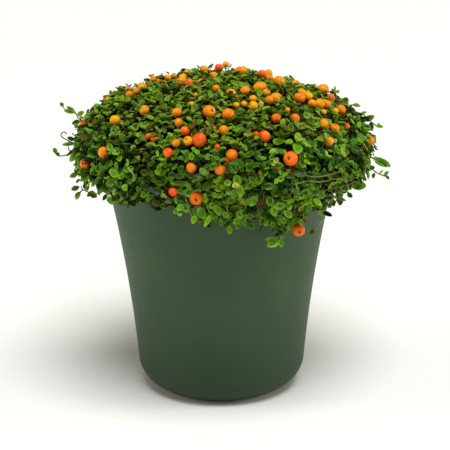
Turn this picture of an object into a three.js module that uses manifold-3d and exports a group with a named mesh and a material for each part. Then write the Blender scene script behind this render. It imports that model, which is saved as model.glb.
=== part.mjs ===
// Potted coral bead plant: a flared pot, the soil in it, a dense mat of small round leaves that
// domes over the rim, stray leafy stems that leave the mat, and fruiting stems with orange berries.
// Lengths are in millimetres and +Z is up. The origin is the centre of the pot's flat foot.
// Azimuth is counted from +X towards +Y, so -90 degrees is the front of the plant.
import * as THREE from 'three';
import { mergeVertices } from 'three/addons/utils/BufferGeometryUtils.js';
import Module from 'manifold-3d';

const wasm = await Module();
wasm.setup();

// Pot: a wall that flares gently and bows outward, with a round bottom edge
const POT_HEIGHT = 120;
const POT_FOOT_RADIUS = 28;
const POT_BOTTOM_HEIGHT = 16;
const POT_WALL_RADIUS = 44;
const POT_FLARE = 0.065;
const POT_BOW = 0.00066;
const POT_WALL = 2.6;
const POT_SIDES = 32;
const POT_CORNER_TURNS = [0, 30, 60, 90];
const POT_WALL_HEIGHTS = [50, 85, POT_HEIGHT];

// Soil: fills the pot to a little below the rim
const SOIL_TOP = 111.5;
const SOIL_GRAIN = 0.45;
const SOIL_SIDES = 16;
const SOIL_RINGS = [1, 0.7, 0.35, 0];

// Mat: the outer surface that the leaf tips reach is a rounded dome over a shorter drooping skirt
const HEART = new THREE.Vector3(1, 0, 130);
const MAT_RADIUS_X = 81;
const MAT_RADIUS_Y = 75.5;
const MAT_RISE = 37.5;
const MAT_DROP = 38;
const MAT_SQUARENESS = 2.5;
// Its girth as a share of a circle's of its radius along X
const MAT_GIRTH = 0.965;
// How far its skirt droops below the heart, in degrees, and how much more at the sides and behind
const SKIRT_DROOP = 12;
const SKIRT_DROOP_AT_SIDES = 7;
const SKIRT_DROOP_BEHIND = 3;

// Core: the tangle of stems inside the mat, from an edge at this elevation up, over a plug
const CORE_DEPTH = 7;
const CORE_BOTTOM = 121.6;
const CORE_EDGE = -5.5;
const CORE_SIDES = 24;
const CORE_RINGS = 9;
const CORE_RING_CROWDING = 1.15;
const PLUG_GAP = 1;

// Leaves: larger than life, raised from the mat so that each lies over the foot of the next
const LEAF_LENGTH = 13.5;
const LEAF_THICKNESS = 0.65;
const LEAF_FOLD = 0.16;
const LEAF_RAISE = 35;
const LEAF_RAISE_SPREAD = 5;
const LEAF_SIZE_SPREAD = 0.07;
const LEAF_SPACING = 13.7;
const LEAF_PLACE_SPREAD = 0.12;
const LEAF_SUNK = 1.4;
const LEAF_LOWEST = -14;
const LEAF_SWIRL = 50;
const LEAF_SWIRL_SPREAD = 12;
const LEAF_TURNS = [0, 45, -45, 90, -90, 135, 180];
const LEAF_POT_GAP = 1.2;
// Half of a leaf's outline from its foot to its tip, as shares of its length: a narrow foot that
// roots it, and a round blade
const LEAF_OUTLINE = [[0, 0.04], [0.45, 0.37], [0.85, 0.3]];

// Skirt leaves: a little smaller, and hung from the core's edge on short stems
const SKIRT_LEAF_SIZE = 0.85;
const SKIRT_LEAF_DEPTH = 4.5;
const SKIRT_LEAF_REACH = 1.5;
const SKIRT_ROOT_ELEVATION = -4;
const SKIRT_ROOT_DEPTH = 9.5;

// Leaves of the stray stems: from near the tip back along part of the stem
const STRAY_LEAF_SIZE = 0.6;
const STRAY_LEAF_LAST = 0.97;
const STRAY_LEAFY_SHARE = 0.62;
const STRAY_LEAF_LEAN = 0.12;
const STRAY_LEAF_UP = 0.35;
const STRAY_LEAF_SUNK = 0.3;

// Stems, berries and the clearance between one solid and the next
const STEM_RADIUS = 0.8;
const STEM_SIDES = 3;
const STEM_SPACE_SIDES = 6;
const STEM_STEPS = 5;
const RUNNER_DEPTH = 5.3;
const RUNNER_END_DEPTH = 5.9;
const RUNNER_END_SHARE = 0.2;
const BERRY_SUNK = 0.7;
const BERRY_SIDES = 6;
const BERRY_RINGS = 4;
const STRAY_ROOT_DEPTH = 8.4;
const CLEARANCE = 0.35;

// The seed of the leaves' scatter, and how near two corners are to be one
const SEED = 20617;
const MERGE_DISTANCE = 1e-4;

// Rooted crown stems that carry the mat, standing in plain holes in the soil
const CROWN_STEM_RADIUS = 1.6;
const CROWN_STEM_DEPTH = 9;
const CROWN_STEM_INTO_CORE = 4;
const CROWN_STEM_SIDES = 8;
const CROWN_STEMS = [[0, 0], [30, 0], [-28, 6], [4, 31], [-6, -30]];

const potMaterial = new THREE.MeshStandardMaterial({ color: 0x4b6346, roughness: 0.62, metalness: 0 });
const soilMaterial = new THREE.MeshStandardMaterial({ color: 0x33241a, roughness: 0.95, metalness: 0 });
const leafMaterial = new THREE.MeshStandardMaterial({ color: 0x3f7a22, roughness: 0.5, metalness: 0 });
const sprigMaterial = new THREE.MeshStandardMaterial({ color: 0x5f8f2c, roughness: 0.55, metalness: 0 });
const fruitMaterial = new THREE.MeshStandardMaterial({ color: 0xef7d1e, roughness: 0.38, metalness: 0 });

// Fruiting stems, by the end of their nodes' names. Each berry in order along one: its azimuth, its
// elevation from the heart and its diameter.
const fruitingStems = {
  front: [[-100, -3, 7.4], [-102, 9, 5.6], [-100, 20, 7.4], [-98, 36, 6.6]],
  front_left: [[-109, -1, 5], [-112, 14, 5], [-114, 28, 5], [-118, 44, 5.2]],
  front_middle: [[-84, 4, 5.4], [-86, 14, 6], [-89, 25, 5.4], [-86, 35, 6.6]],
  front_right: [[-63, 11, 7.4], [-70, 21, 6], [-60, 29, 5], [-64, 42, 5.4]],
  right_low: [[-41, 14, 5.2], [-35, 21, 5.6], [-48, 27, 5.4], [-42, 43, 6]],
  right: [[-8, 6, 5.4], [-12, 22, 5.4], [-20, 29, 6], [-26, 37, 6.4]],
  top_right: [[8, 30, 6.2], [14, 49, 6.4], [-24, 60, 6.2], [-72, 66, 6]],
  top: [[172, 60, 6], [135, 66, 6], [100, 52, 5.6], [76, 40, 6]],
  left_low: [[-158, 1, 5.4], [-144, 9, 6], [-149, 22, 5.6], [-140, 31, 5.4]],
  left: [[-170, 14, 5.4], [178, 24, 5.2], [168, 37, 5.6], [146, 40, 5.6]],
  back_left: [[142, 2, 5.4], [134, 14, 6], [126, 26, 5.6], [118, 38, 5.2]],
  back: [[98, 0, 6], [92, 13, 5.4], [97, 26, 6.2]],
  back_right: [[62, 4, 5.4], [54, 16, 6.4], [60, 29, 5.4], [44, 44, 5.8]],
  right_back: [[24, 3, 5.6], [32, 15, 5.8], [24, 26, 5.4]],
};

// Stray leafy stems, by the end of their nodes' names: how many leaves each has, and its route from
// the root in the mat to the tip, as azimuth, distance from the axis and height
const strayStems = {
  left_top: { leaves: 3, route: [[176, 61, 148], [175, 70, 149], [175, 75, 150], [174, 79, 151.5]] },
  left_curl: { leaves: 2, route: [[179, 70, 127], [178, 76, 127.5], [178, 81, 128.5], [177, 84, 129.5]] },
  left_low: { leaves: 3, route: [[190, 67, 125], [191, 72, 118], [191, 73, 114], [190, 76, 113]] },
  right_top: { leaves: 3, route: [[-4, 61, 150], [-4, 68, 152], [-4, 74, 151], [-5, 78, 149]] },
  right_spear: { leaves: 3, route: [[-6, 69, 129], [-5, 76, 129], [-5, 80, 127.5], [-5, 84, 125.5]] },
  right_low: { leaves: 3, route: [[-12, 67, 124], [-13, 73, 118.5], [-14, 73, 114], [-15, 71, 110]] },
  front_left: { leaves: 3, route: [[-104, 61, 125], [-103, 70, 122], [-102, 70, 118], [-100, 69, 114.5]] },
  front: { leaves: 3, route: [[-87, 61, 125], [-86, 70, 120.5], [-84, 69, 115], [-85, 68, 110]] },
  front_right: { leaves: 4, route: [[-63, 62, 125], [-64, 71, 119.5], [-64, 69, 110], [-64, 66, 101]] },
  front_pale: { leaves: 2, route: [[-36, 65, 124], [-37, 72, 118], [-39, 69, 108.5], [-42, 65, 100]] },
  back_left: { leaves: 3, route: [[128, 63, 126], [129, 74, 122], [129, 73, 114], [130, 69, 106]] },
  back_right: { leaves: 3, route: [[42, 64, 126], [41, 75, 123], [41, 78, 116], [42, 76, 109]] },
};

// The one fruit that hangs below the rim, on a stem of its own
const hangingFruitStem = {
  berry: 6.8,
  route: [[-50, 63, 126], [-50, 71, 121], [-50, 69, 112], [-50, 66.5, 105]],
};

// A seeded generator of numbers from 0 to 1
function seededRandom(seed) {
  let state = seed;
  return () => {
    state = (state + 0x6d2b79f5) | 0;
    let mixed = Math.imul(state ^ (state >>> 15), 1 | state);
    mixed = (mixed + Math.imul(mixed ^ (mixed >>> 7), 61 | mixed)) ^ mixed;
    return ((mixed ^ (mixed >>> 14)) >>> 0) / 4294967296;
  };
}

const random = seededRandom(SEED);
const spread = (amount) => (random() * 2 - 1) * amount;
const toRadians = THREE.MathUtils.degToRad;

// Turns a closed geometry into a solid, facing outward
function solidOf(geometry) {
  const bare = geometry.clone();
  bare.deleteAttribute('normal');
  bare.deleteAttribute('uv');
  const merged = mergeVertices(bare, MERGE_DISTANCE);
  const vertProperties = new Float32Array(merged.attributes.position.array);
  const triVerts = new Uint32Array(merged.index.array);
  const solid = new wasm.Manifold(new wasm.Mesh({ numProp: 3, vertProperties, triVerts }));
  if (solid.volume() > 0) {
    return solid;
  }
  triVerts.reverse();
  return new wasm.Manifold(new wasm.Mesh({ numProp: 3, vertProperties, triVerts }));
}

// Turns a solid into a named mesh; loose scraps that a cut left behind are dropped
function meshOf(name, solid, material) {
  const bodies = solid.decompose();
  bodies.sort((a, b) => b.volume() - a.volume());
  const { vertProperties, triVerts } = bodies[0].getMesh();
  const geometry = new THREE.BufferGeometry();
  geometry.setAttribute('position', new THREE.BufferAttribute(vertProperties, 3));
  geometry.setIndex(new THREE.BufferAttribute(triVerts, 1));
  geometry.computeVertexNormals();
  const mesh = new THREE.Mesh(geometry, material);
  mesh.name = name;
  return mesh;
}

const joined = (solids) => wasm.Manifold.union(solids);

// Removes triangles that have two corners in one place, as the rings on the axis have
function withoutFlatFaces(geometry) {
  geometry.deleteAttribute('normal');
  geometry.deleteAttribute('uv');
  const merged = mergeVertices(geometry, MERGE_DISTANCE);
  const corners = merged.index.array;
  const kept = [];
  for (let i = 0; i < corners.length; i += 3) {
    const [a, b, c] = corners.slice(i, i + 3);
    if (a !== b && b !== c && c !== a) {
      kept.push(a, b, c);
    }
  }
  merged.setIndex(kept);
  return merged;
}

// A closed body of rings: pointAt gives each point from its azimuth and its ring's number. The first
// and last rings shrink to points on the axis.
function ringSolid(rings, sides, pointAt) {
  const profile = Array.from({ length: rings }, (_, ring) => new THREE.Vector2(1, ring));
  const geometry = new THREE.LatheGeometry(profile, sides);
  const position = geometry.attributes.position;
  for (let side = 0; side <= sides; side += 1) {
    const azimuth = ((side % sides) / sides) * 2 * Math.PI;
    for (let ring = 0; ring < rings; ring += 1) {
      const point = pointAt(azimuth, ring);
      position.setXYZ(side * rings + ring, point.x, point.y, point.z);
    }
  }
  return solidOf(withoutFlatFaces(geometry));
}

const ringPoint = (azimuth, radius, height) => new THREE.Vector3(
  radius * Math.cos(azimuth),
  radius * Math.sin(azimuth),
  height,
);

// Distance from the heart to the mat's outer surface, in the given direction
function reachOf(direction) {
  const rise = direction.z > 0 ? MAT_RISE : MAT_DROP;
  const across = Math.hypot(direction.x / MAT_RADIUS_X, direction.y / MAT_RADIUS_Y);
  const up = Math.abs(direction.z) / rise;
  return (across ** MAT_SQUARENESS + up ** MAT_SQUARENESS) ** (-1 / MAT_SQUARENESS);
}

const directionOf = (azimuth, elevation) => new THREE.Vector3(
  Math.cos(elevation) * Math.cos(azimuth),
  Math.cos(elevation) * Math.sin(azimuth),
  Math.sin(elevation),
);

const underSurface = (direction, depth) => HEART.clone()
  .addScaledVector(direction, reachOf(direction) - depth);

// The outward normal of the mat's surface, in the given direction
function normalOf(direction) {
  const point = direction.clone().multiplyScalar(reachOf(direction));
  const rise = point.z > 0 ? MAT_RISE : MAT_DROP;
  const across = Math.hypot(point.x / MAT_RADIUS_X, point.y / MAT_RADIUS_Y);
  const slope = across ** (MAT_SQUARENESS - 2);
  return new THREE.Vector3(
    (slope * point.x) / MAT_RADIUS_X ** 2,
    (slope * point.y) / MAT_RADIUS_Y ** 2,
    (Math.sign(point.z) * (Math.abs(point.z) / rise) ** (MAT_SQUARENESS - 1)) / rise,
  ).normalize();
}

// How far the skirt droops below the heart, as an elevation: most at the sides, least in front
const skirtElevation = (azimuth) => -toRadians(
  SKIRT_DROOP + SKIRT_DROOP_AT_SIDES * Math.cos(azimuth) ** 2 + SKIRT_DROOP_BEHIND * Math.sin(azimuth),
);

const wallRadius = (height) => POT_WALL_RADIUS + POT_FLARE * height + POT_BOW * height ** 2;

// The pot's outer profile grown by an amount, as radius and height, from the axis up to the rim
function potProfile(grown) {
  const corner = wallRadius(POT_BOTTOM_HEIGHT) - POT_FOOT_RADIUS;
  const points = [[0, -grown]];
  for (const turn of POT_CORNER_TURNS) {
    const angle = toRadians(turn);
    points.push([
      POT_FOOT_RADIUS + (corner + grown) * Math.sin(angle),
      POT_BOTTOM_HEIGHT - (POT_BOTTOM_HEIGHT + grown) * Math.cos(angle),
    ]);
  }
  for (const height of POT_WALL_HEIGHTS) {
    points.push([wallRadius(height) + grown, height]);
  }
  return points;
}

function buildPot() {
  const outside = potProfile(0);
  const inside = potProfile(-POT_WALL).reverse();
  const profile = [...outside, ...inside];
  const pointAt = (azimuth, ring) => ringPoint(azimuth, ...profile[ring]);
  return ringSolid(profile.length, POT_SIDES, pointAt);
}

function buildSoil() {
  const buried = potProfile(-POT_WALL - CLEARANCE).slice(0, -1);
  const edge = wallRadius(SOIL_TOP) - POT_WALL - CLEARANCE;
  const surface = SOIL_RINGS.map((share) => [share * edge, SOIL_TOP]);
  const profile = [...buried, ...surface];
  const body = ringSolid(profile.length, SOIL_SIDES, (azimuth, ring) => {
    const [radius, height] = profile[ring];
    const grain = Math.sin(radius * 0.9) * Math.sin(azimuth * 11 + radius) * SOIL_GRAIN;
    const isSurface = ring >= buried.length && radius > 0;
    return ringPoint(azimuth, radius, isSurface ? height + grain : height);
  });
  return body.subtract(joined(crownStems(CLEARANCE)));
}

// The crown stems, grown by an amount for the holes that they stand in
function crownStems(grown) {
  return CROWN_STEMS.map(([x, y]) => {
    const radius = CROWN_STEM_RADIUS + grown;
    const low = SOIL_TOP - CROWN_STEM_DEPTH - grown;
    const length = CORE_BOTTOM + CROWN_STEM_INTO_CORE + grown - low;
    const stem = new THREE.CylinderGeometry(radius, radius, length, CROWN_STEM_SIDES);
    stem.rotateX(Math.PI / 2);
    stem.translate(x, y, low + length / 2);
    return solidOf(stem);
  });
}

// The tangle of stems inside the mat: a dome that reaches over the rim, with a plug down to the soil
function buildCore() {
  const plugRadius = wallRadius(SOIL_TOP) - POT_WALL - PLUG_GAP;
  const low = SOIL_TOP + SOIL_GRAIN + CLEARANCE;
  const neck = [[plugRadius, CORE_BOTTOM - PLUG_GAP], [plugRadius + PLUG_GAP, CORE_BOTTOM]];
  const underside = [[0, low], [plugRadius, low], ...neck];
  const rings = underside.length + CORE_RINGS;
  return ringSolid(rings, CORE_SIDES, (azimuth, ring) => {
    if (ring < underside.length) {
      return ringPoint(azimuth, ...underside[ring]);
    }
    const share = ((ring - underside.length) / (CORE_RINGS - 1)) ** CORE_RING_CROWDING;
    const elevation = toRadians(THREE.MathUtils.lerp(CORE_EDGE, 90, share));
    return underSurface(directionOf(azimuth, elevation), CORE_DEPTH);
  });
}

// A stem along a route, as a slim prism bent to the curve, or with some growth the space round it
function stemSolid(points, steps, grown) {
  const sides = grown > 0 ? STEM_SPACE_SIDES : STEM_SIDES;
  const radius = grown > 0 ? (STEM_RADIUS + grown) / Math.cos(Math.PI / sides) : STEM_RADIUS;
  const section = new THREE.Shape();
  section.moveTo(radius, 0);
  for (let corner = 1; corner < sides; corner += 1) {
    const angle = (corner / sides) * 2 * Math.PI;
    section.lineTo(radius * Math.cos(angle), radius * Math.sin(angle));
  }
  const extrudePath = new THREE.CatmullRomCurve3(points);
  return solidOf(new THREE.ExtrudeGeometry(section, { steps, extrudePath, bevelEnabled: false }));
}

// A leaf with its foot at the origin, pointing along +X and facing +Z, folded up a little along its
// midrib; with some growth, the space that its neighbours leave round it
function leafTemplate(grown) {
  const outline = new THREE.Shape();
  outline.moveTo(LEAF_LENGTH + grown, 0);
  for (const side of [1, -1]) {
    const half = side > 0 ? [...LEAF_OUTLINE].reverse() : LEAF_OUTLINE;
    for (const [along, across] of half) {
      outline.lineTo(along * LEAF_LENGTH, side * (across * LEAF_LENGTH + grown));
    }
  }
  const thickness = LEAF_THICKNESS + 2 * grown;
  const leaf = new THREE.ExtrudeGeometry(outline, { depth: thickness, bevelEnabled: false });
  const position = leaf.attributes.position;
  for (let i = 0; i < position.count; i += 1) {
    const fold = Math.max(0, Math.abs(position.getY(i)) - grown) * LEAF_FOLD;
    position.setZ(i, position.getZ(i) - thickness / 2 + fold);
  }
  return leaf;
}

const leafShape = leafTemplate(0);
const leafSpace = leafTemplate(CLEARANCE);

// A leaf from its foot along a direction, facing as near as it can to the given side
function leafSolid(foot, along, facing, size, shape = leafShape) {
  const x = along.clone().normalize();
  const y = facing.clone().cross(x).normalize();
  const z = x.clone().cross(y);
  const place = new THREE.Matrix4().makeBasis(x, y, z);
  place.scale(new THREE.Vector3(size, size, 1));
  place.setPosition(foot);
  return solidOf(shape.clone().applyMatrix4(place));
}

// Rows of places over the mat, an even spacing apart, from the skirt's edge to the top
function leafPlaces(spacing) {
  const places = [];
  const lowest = toRadians(LEAF_LOWEST);
  const step = toRadians(0.5);
  let travelled = spacing / 2;
  let previous = underSurface(directionOf(0, lowest), 0);
  let row = 0;
  for (let elevation = lowest; elevation < Math.PI / 2; elevation += step) {
    const point = underSurface(directionOf(0, elevation), 0);
    travelled += point.distanceTo(previous);
    previous = point;
    if (travelled >= spacing) {
      travelled -= spacing;
      row += 1;
      const girth = 2 * Math.PI * (point.x - HEART.x) * MAT_GIRTH;
      const count = Math.max(1, Math.round(girth / spacing));
      for (let k = 0; k < count; k += 1) {
        const azimuth = ((k + (row % 2) / 2 + spread(LEAF_PLACE_SPREAD)) / count) * 2 * Math.PI;
        const share = (elevation - lowest) / (Math.PI / 2 - lowest);
        const raised = THREE.MathUtils.lerp(skirtElevation(azimuth), Math.PI / 2, share);
        places.push(directionOf(azimuth, raised + spread(0.01)));
      }
    }
  }
  return places;
}

const berryCentre = ([azimuth, elevation, diameter]) => underSurface(
  directionOf(toRadians(azimuth), toRadians(elevation)),
  RUNNER_DEPTH - STEM_RADIUS - diameter / 2 + BERRY_SUNK,
);

// The way a leaf's tip points along the mat's surface: a slow swirl with a little scatter
function leafHeading(direction, outward) {
  const azimuth = Math.atan2(direction.y, direction.x);
  const downhill = directionOf(azimuth, 0);
  downhill.addScaledVector(outward, -downhill.dot(outward));
  if (downhill.length() < 0.3) {
    downhill.set(0, 0, -1).addScaledVector(outward, outward.z);
  }
  const swirl = LEAF_SWIRL * Math.sin(3 * azimuth + 4 * direction.z) + spread(LEAF_SWIRL_SPREAD);
  return downhill.normalize().applyAxisAngle(outward, toRadians(swirl));
}

const touches = (a, b) => a.intersect(b).volume() > 0;

// Leaves over the whole mat, each rooted in the core or hung from its edge on a short stem. A leaf
// is turned until it clears the fruit and the stray stems, and its neighbours if it can.
function matLeaves(keptClear) {
  const placed = [];
  const stems = [];
  for (const direction of leafPlaces(LEAF_SPACING)) {
    const outward = normalOf(direction);
    const heading = leafHeading(direction, outward);
    const tilt = toRadians(LEAF_RAISE + spread(LEAF_RAISE_SPREAD));
    const hangs = underSurface(direction, 0).z < CORE_BOTTOM + SKIRT_LEAF_REACH;
    const foot = underSurface(direction, hangs ? SKIRT_LEAF_DEPTH : CORE_DEPTH + LEAF_SUNK);
    const size = (hangs ? SKIRT_LEAF_SIZE : 1) * (1 + spread(LEAF_SIZE_SPREAD));
    const tries = LEAF_TURNS.map((turn) => {
      const level = heading.clone().applyAxisAngle(outward, toRadians(turn));
      const along = level.clone().multiplyScalar(Math.cos(tilt)).addScaledVector(outward, Math.sin(tilt));
      const facing = outward.clone().multiplyScalar(Math.cos(tilt)).addScaledVector(level, -Math.sin(tilt));
      return leafSolid(foot, along, facing, size);
    });
    const clear = tries.filter((leaf) => !touches(leaf, keptClear));
    const near = placed.filter((other) => other.foot.distanceTo(foot) < 2 * LEAF_LENGTH);
    const leaf = clear.find((one) => !near.some((other) => touches(one, other.leaf))) ?? clear[0];
    const azimuth = Math.atan2(direction.y, direction.x);
    const root = underSurface(directionOf(azimuth, toRadians(SKIRT_ROOT_ELEVATION)), SKIRT_ROOT_DEPTH);
    const stem = stemSolid([root, foot], 1, 0);
    if (!leaf || (hangs && touches(stem, keptClear))) {
      continue;
    }
    placed.push({ foot, leaf });
    if (hangs) {
      stems.push(stem);
    }
  }
  return [...placed.map(({ leaf }) => leaf), ...stems];
}

// A round body of few sides, for a berry
function ballSolid(centre, radius) {
  const ball = new THREE.SphereGeometry(radius, BERRY_SIDES, BERRY_RINGS);
  ball.rotateX(Math.PI / 2);
  ball.translate(...centre);
  return solidOf(ball);
}

// The creeping runner that carries a fruiting stem's berries, from its root inside the mat
function runnerRoute(berries) {
  const stops = berries.map(([azimuth, elevation]) => (
    directionOf(toRadians(azimuth), toRadians(elevation))
  ));
  const [before, last] = stops.slice(-2);
  const onward = last.clone().multiplyScalar(1 + RUNNER_END_SHARE);
  onward.addScaledVector(before, -RUNNER_END_SHARE).normalize();
  const points = [underSurface(stops[0], RUNNER_DEPTH)];
  for (let i = 1; i < stops.length; i += 1) {
    const middle = underSurface(stops[i - 1], 0).add(underSurface(stops[i], 0)).multiplyScalar(0.5);
    const between = middle.sub(HEART).normalize();
    points.push(underSurface(between, RUNNER_DEPTH), underSurface(stops[i], RUNNER_DEPTH));
  }
  points.push(underSurface(onward, RUNNER_END_DEPTH));
  return points;
}

// A fruiting stem, or the slightly larger space that the mat leaves for it
function fruitingSolid(berries, grown) {
  const points = runnerRoute(berries);
  const runner = stemSolid(points, points.length, grown);
  const fruits = berries.map((berry) => ballSolid(berryCentre(berry), berry[2] / 2 + grown));
  return joined([runner, ...fruits]);
}

// The points of a stray stem's route, the first of them sunk in a plain hole in the core
function routePoints(route, grown) {
  const points = route.map(([azimuth, radius, height]) => ringPoint(toRadians(azimuth), radius, height));
  const inward = points[0].clone().sub(HEART).normalize();
  points[0] = underSurface(inward, STRAY_ROOT_DEPTH + grown);
  return points;
}

// A stray leafy stem with one leaf at its tip and others by turns on its two sides, or with some
// growth its space
function strayStem({ route, leaves }, grown) {
  const curve = new THREE.CatmullRomCurve3(routePoints(route, 0));
  const solids = [stemSolid(routePoints(route, grown), STEM_STEPS, grown)];
  for (let k = 0; k < leaves; k += 1) {
    const share = STRAY_LEAF_LAST - (k * STRAY_LEAFY_SHARE) / leaves;
    const heading = curve.getTangentAt(share);
    const outward = new THREE.Vector3(curve.points[1].x, curve.points[1].y, 0).normalize();
    outward.setZ(STRAY_LEAF_UP);
    outward.addScaledVector(heading, -outward.dot(heading)).normalize();
    const across = heading.clone().cross(outward).multiplyScalar(k % 2 === 0 ? 1 : -1);
    const along = k === 0 ? heading : across.addScaledVector(heading, STRAY_LEAF_LEAN).normalize();
    const foot = curve.getPointAt(share).addScaledVector(along, -STRAY_LEAF_SUNK);
    solids.push(leafSolid(foot, along, outward, STRAY_LEAF_SIZE, grown > 0 ? leafSpace : leafShape));
  }
  return joined(solids);
}

function hangingFruit({ route, berry }, grown) {
  const points = routePoints(route, grown);
  const hung = points[points.length - 1].clone();
  hung.z -= berry / 2 - BERRY_SUNK;
  return joined([stemSolid(points, STEM_STEPS, grown), ballSolid(hung, berry / 2 + grown)]);
}

// The pot with a gap all round it, filled in, which the leaves keep out of
function potSpace() {
  const profile = [...potProfile(LEAF_POT_GAP), [0, POT_HEIGHT]];
  return ringSolid(profile.length, POT_SIDES, (azimuth, ring) => ringPoint(azimuth, ...profile[ring]));
}

const plant = new THREE.Group();
plant.name = 'potted_coral_bead_plant';
plant.add(meshOf('pot', buildPot(), potMaterial));
plant.add(meshOf('soil', buildSoil(), soilMaterial));

const keptClear = [potSpace()];
const stemSpaces = [hangingFruit(hangingFruitStem, CLEARANCE)];
for (const [name, berries] of Object.entries(fruitingStems)) {
  plant.add(meshOf(`fruiting_stem_${name}`, fruitingSolid(berries, 0), fruitMaterial));
  keptClear.push(fruitingSolid(berries, CLEARANCE));
}
plant.add(meshOf('fruiting_stem_hanging', hangingFruit(hangingFruitStem, 0), fruitMaterial));
for (const [name, stem] of Object.entries(strayStems)) {
  plant.add(meshOf(`stray_stem_${name}`, strayStem(stem, 0), sprigMaterial));
  stemSpaces.push(strayStem(stem, CLEARANCE));
}

const core = joined([buildCore(), ...crownStems(0)]).subtract(joined(stemSpaces));
const leaves = joined(matLeaves(joined([...keptClear, ...stemSpaces])));
plant.add(meshOf('leaf_mat', joined([core, leaves]), leafMaterial));

export default plant;
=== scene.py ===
import math
import random

import bmesh
import bpy
from mathutils import Matrix, Vector, kdtree, noise


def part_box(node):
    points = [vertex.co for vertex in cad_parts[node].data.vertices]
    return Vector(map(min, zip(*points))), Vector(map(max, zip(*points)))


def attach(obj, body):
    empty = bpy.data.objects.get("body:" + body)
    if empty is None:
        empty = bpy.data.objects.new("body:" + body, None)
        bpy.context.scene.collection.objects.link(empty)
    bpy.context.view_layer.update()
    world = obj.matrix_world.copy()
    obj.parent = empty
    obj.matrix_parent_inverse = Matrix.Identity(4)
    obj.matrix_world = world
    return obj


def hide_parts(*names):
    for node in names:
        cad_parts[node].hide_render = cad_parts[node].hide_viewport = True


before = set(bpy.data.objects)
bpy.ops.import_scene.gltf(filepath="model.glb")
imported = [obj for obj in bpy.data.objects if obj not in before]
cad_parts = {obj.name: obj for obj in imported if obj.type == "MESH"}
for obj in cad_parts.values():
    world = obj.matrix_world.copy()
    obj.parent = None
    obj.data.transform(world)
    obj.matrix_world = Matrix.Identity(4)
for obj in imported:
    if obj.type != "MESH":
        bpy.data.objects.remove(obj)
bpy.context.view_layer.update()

bl_info = {
    "name": "Potted Coral Bead Plant",
    "version": (1, 0, 0),
    "blender": (4, 5, 0),
    "location": "View3D > Sidebar > Coral Bead",
    "description": "Dresses a potted coral bead plant: pot, soil, leafy mat and orange berries",
    "category": "Object",
}

MM = 0.001
SEED = 41873
ROOT = "root"

# The pot's wall and foot, as the frame has them
POT_LOW, POT_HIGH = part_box("pot")
POT_HEIGHT = POT_HIGH.z
POT_RIM_RADIUS = POT_HIGH.x
POT_WALL_RADIUS = 44 * MM
POT_FLARE = 0.065
POT_FOOT_RADIUS = 28 * MM
POT_BOTTOM_HEIGHT = 16 * MM
POT_WALL = 2.6 * MM
SOIL_TOP = 111.5 * MM
SOIL_CLEARANCE = 0.35 * MM

# How finely the pot is drawn: segments around it, and degrees from step to step of its lip
POT_SEGMENTS = 128
LIP_STEP = 22

# The soil's top: its segments and rings, and the size, height and sinking of its crumbs
SOIL_SEGMENTS = 96
SOIL_RINGS = 24
CRUMB_SIZE = 2.5 * MM
CRUMB_HEIGHT = 0.5 * MM
CRUMB_SINK = 0.3 * MM

# The mat's outer surface: a rounded dome about its heart, over a shorter drooping skirt. Its
# lumps are noise with a gain, of so many waves to a radian, from a place of its own.
HEART = Vector((1, 0, 130)) * MM
MAT_SQUARENESS = 2.5
LUMP_GAIN = 1.6
LUMP_PITCH = 5.2
LUMP_PLACE = Vector((3.1, 7.7, 1.9))

# The dark mass inside the mat: its depth under that surface, the elevation of its lowest edge in
# degrees, its roughness, the height of its underside, and its gap over the soil
TANGLE_DEPTH = 9.5 * MM
TANGLE_EDGE = -5.5
TANGLE_ROUGHNESS = 2.2 * MM
TANGLE_LOW = 121.6 * MM
TANGLE_GAP = 0.8 * MM

# How far the skirt's edge hangs below the heart, in degrees, by azimuth
SKIRT_DROOP = [
    (-180, 10), (-165, 10), (-142, 7.5), (-132, 8.5), (-120, 5), (-112, 7), (-98, 13), (-78, 15.5),
    (-51, 14), (-35, 9.5), (-15, 7), (20, 12), (60, 13), (120, 14), (160, 13), (180, 10),
]
# How much that edge wanders, and how wide its rags are, in degrees
SKIRT_RAGGED = 3
SKIRT_RAG_WIDTH = 6

# Where the mat is sunken: azimuth and elevation in degrees, depth in millimetres, width in degrees
HOLLOWS = [(38, 28, 5.0, 20), (150, 36, 2.0, 16)]

# The photograph's camera: its distance from a point on the pot's axis, and its frame in pixels
CAMERA_TARGET = Vector((2.3, 0, 88.6)) * MM
CAMERA_DISTANCE = 1.0
CAMERA_PITCH = math.radians(18)
CAMERA_ROLL = math.radians(0.3)
CAMERA_LENS = 149.0
SENSOR_WIDTH = 36.0
IMAGE_SIZE = 450

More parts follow.
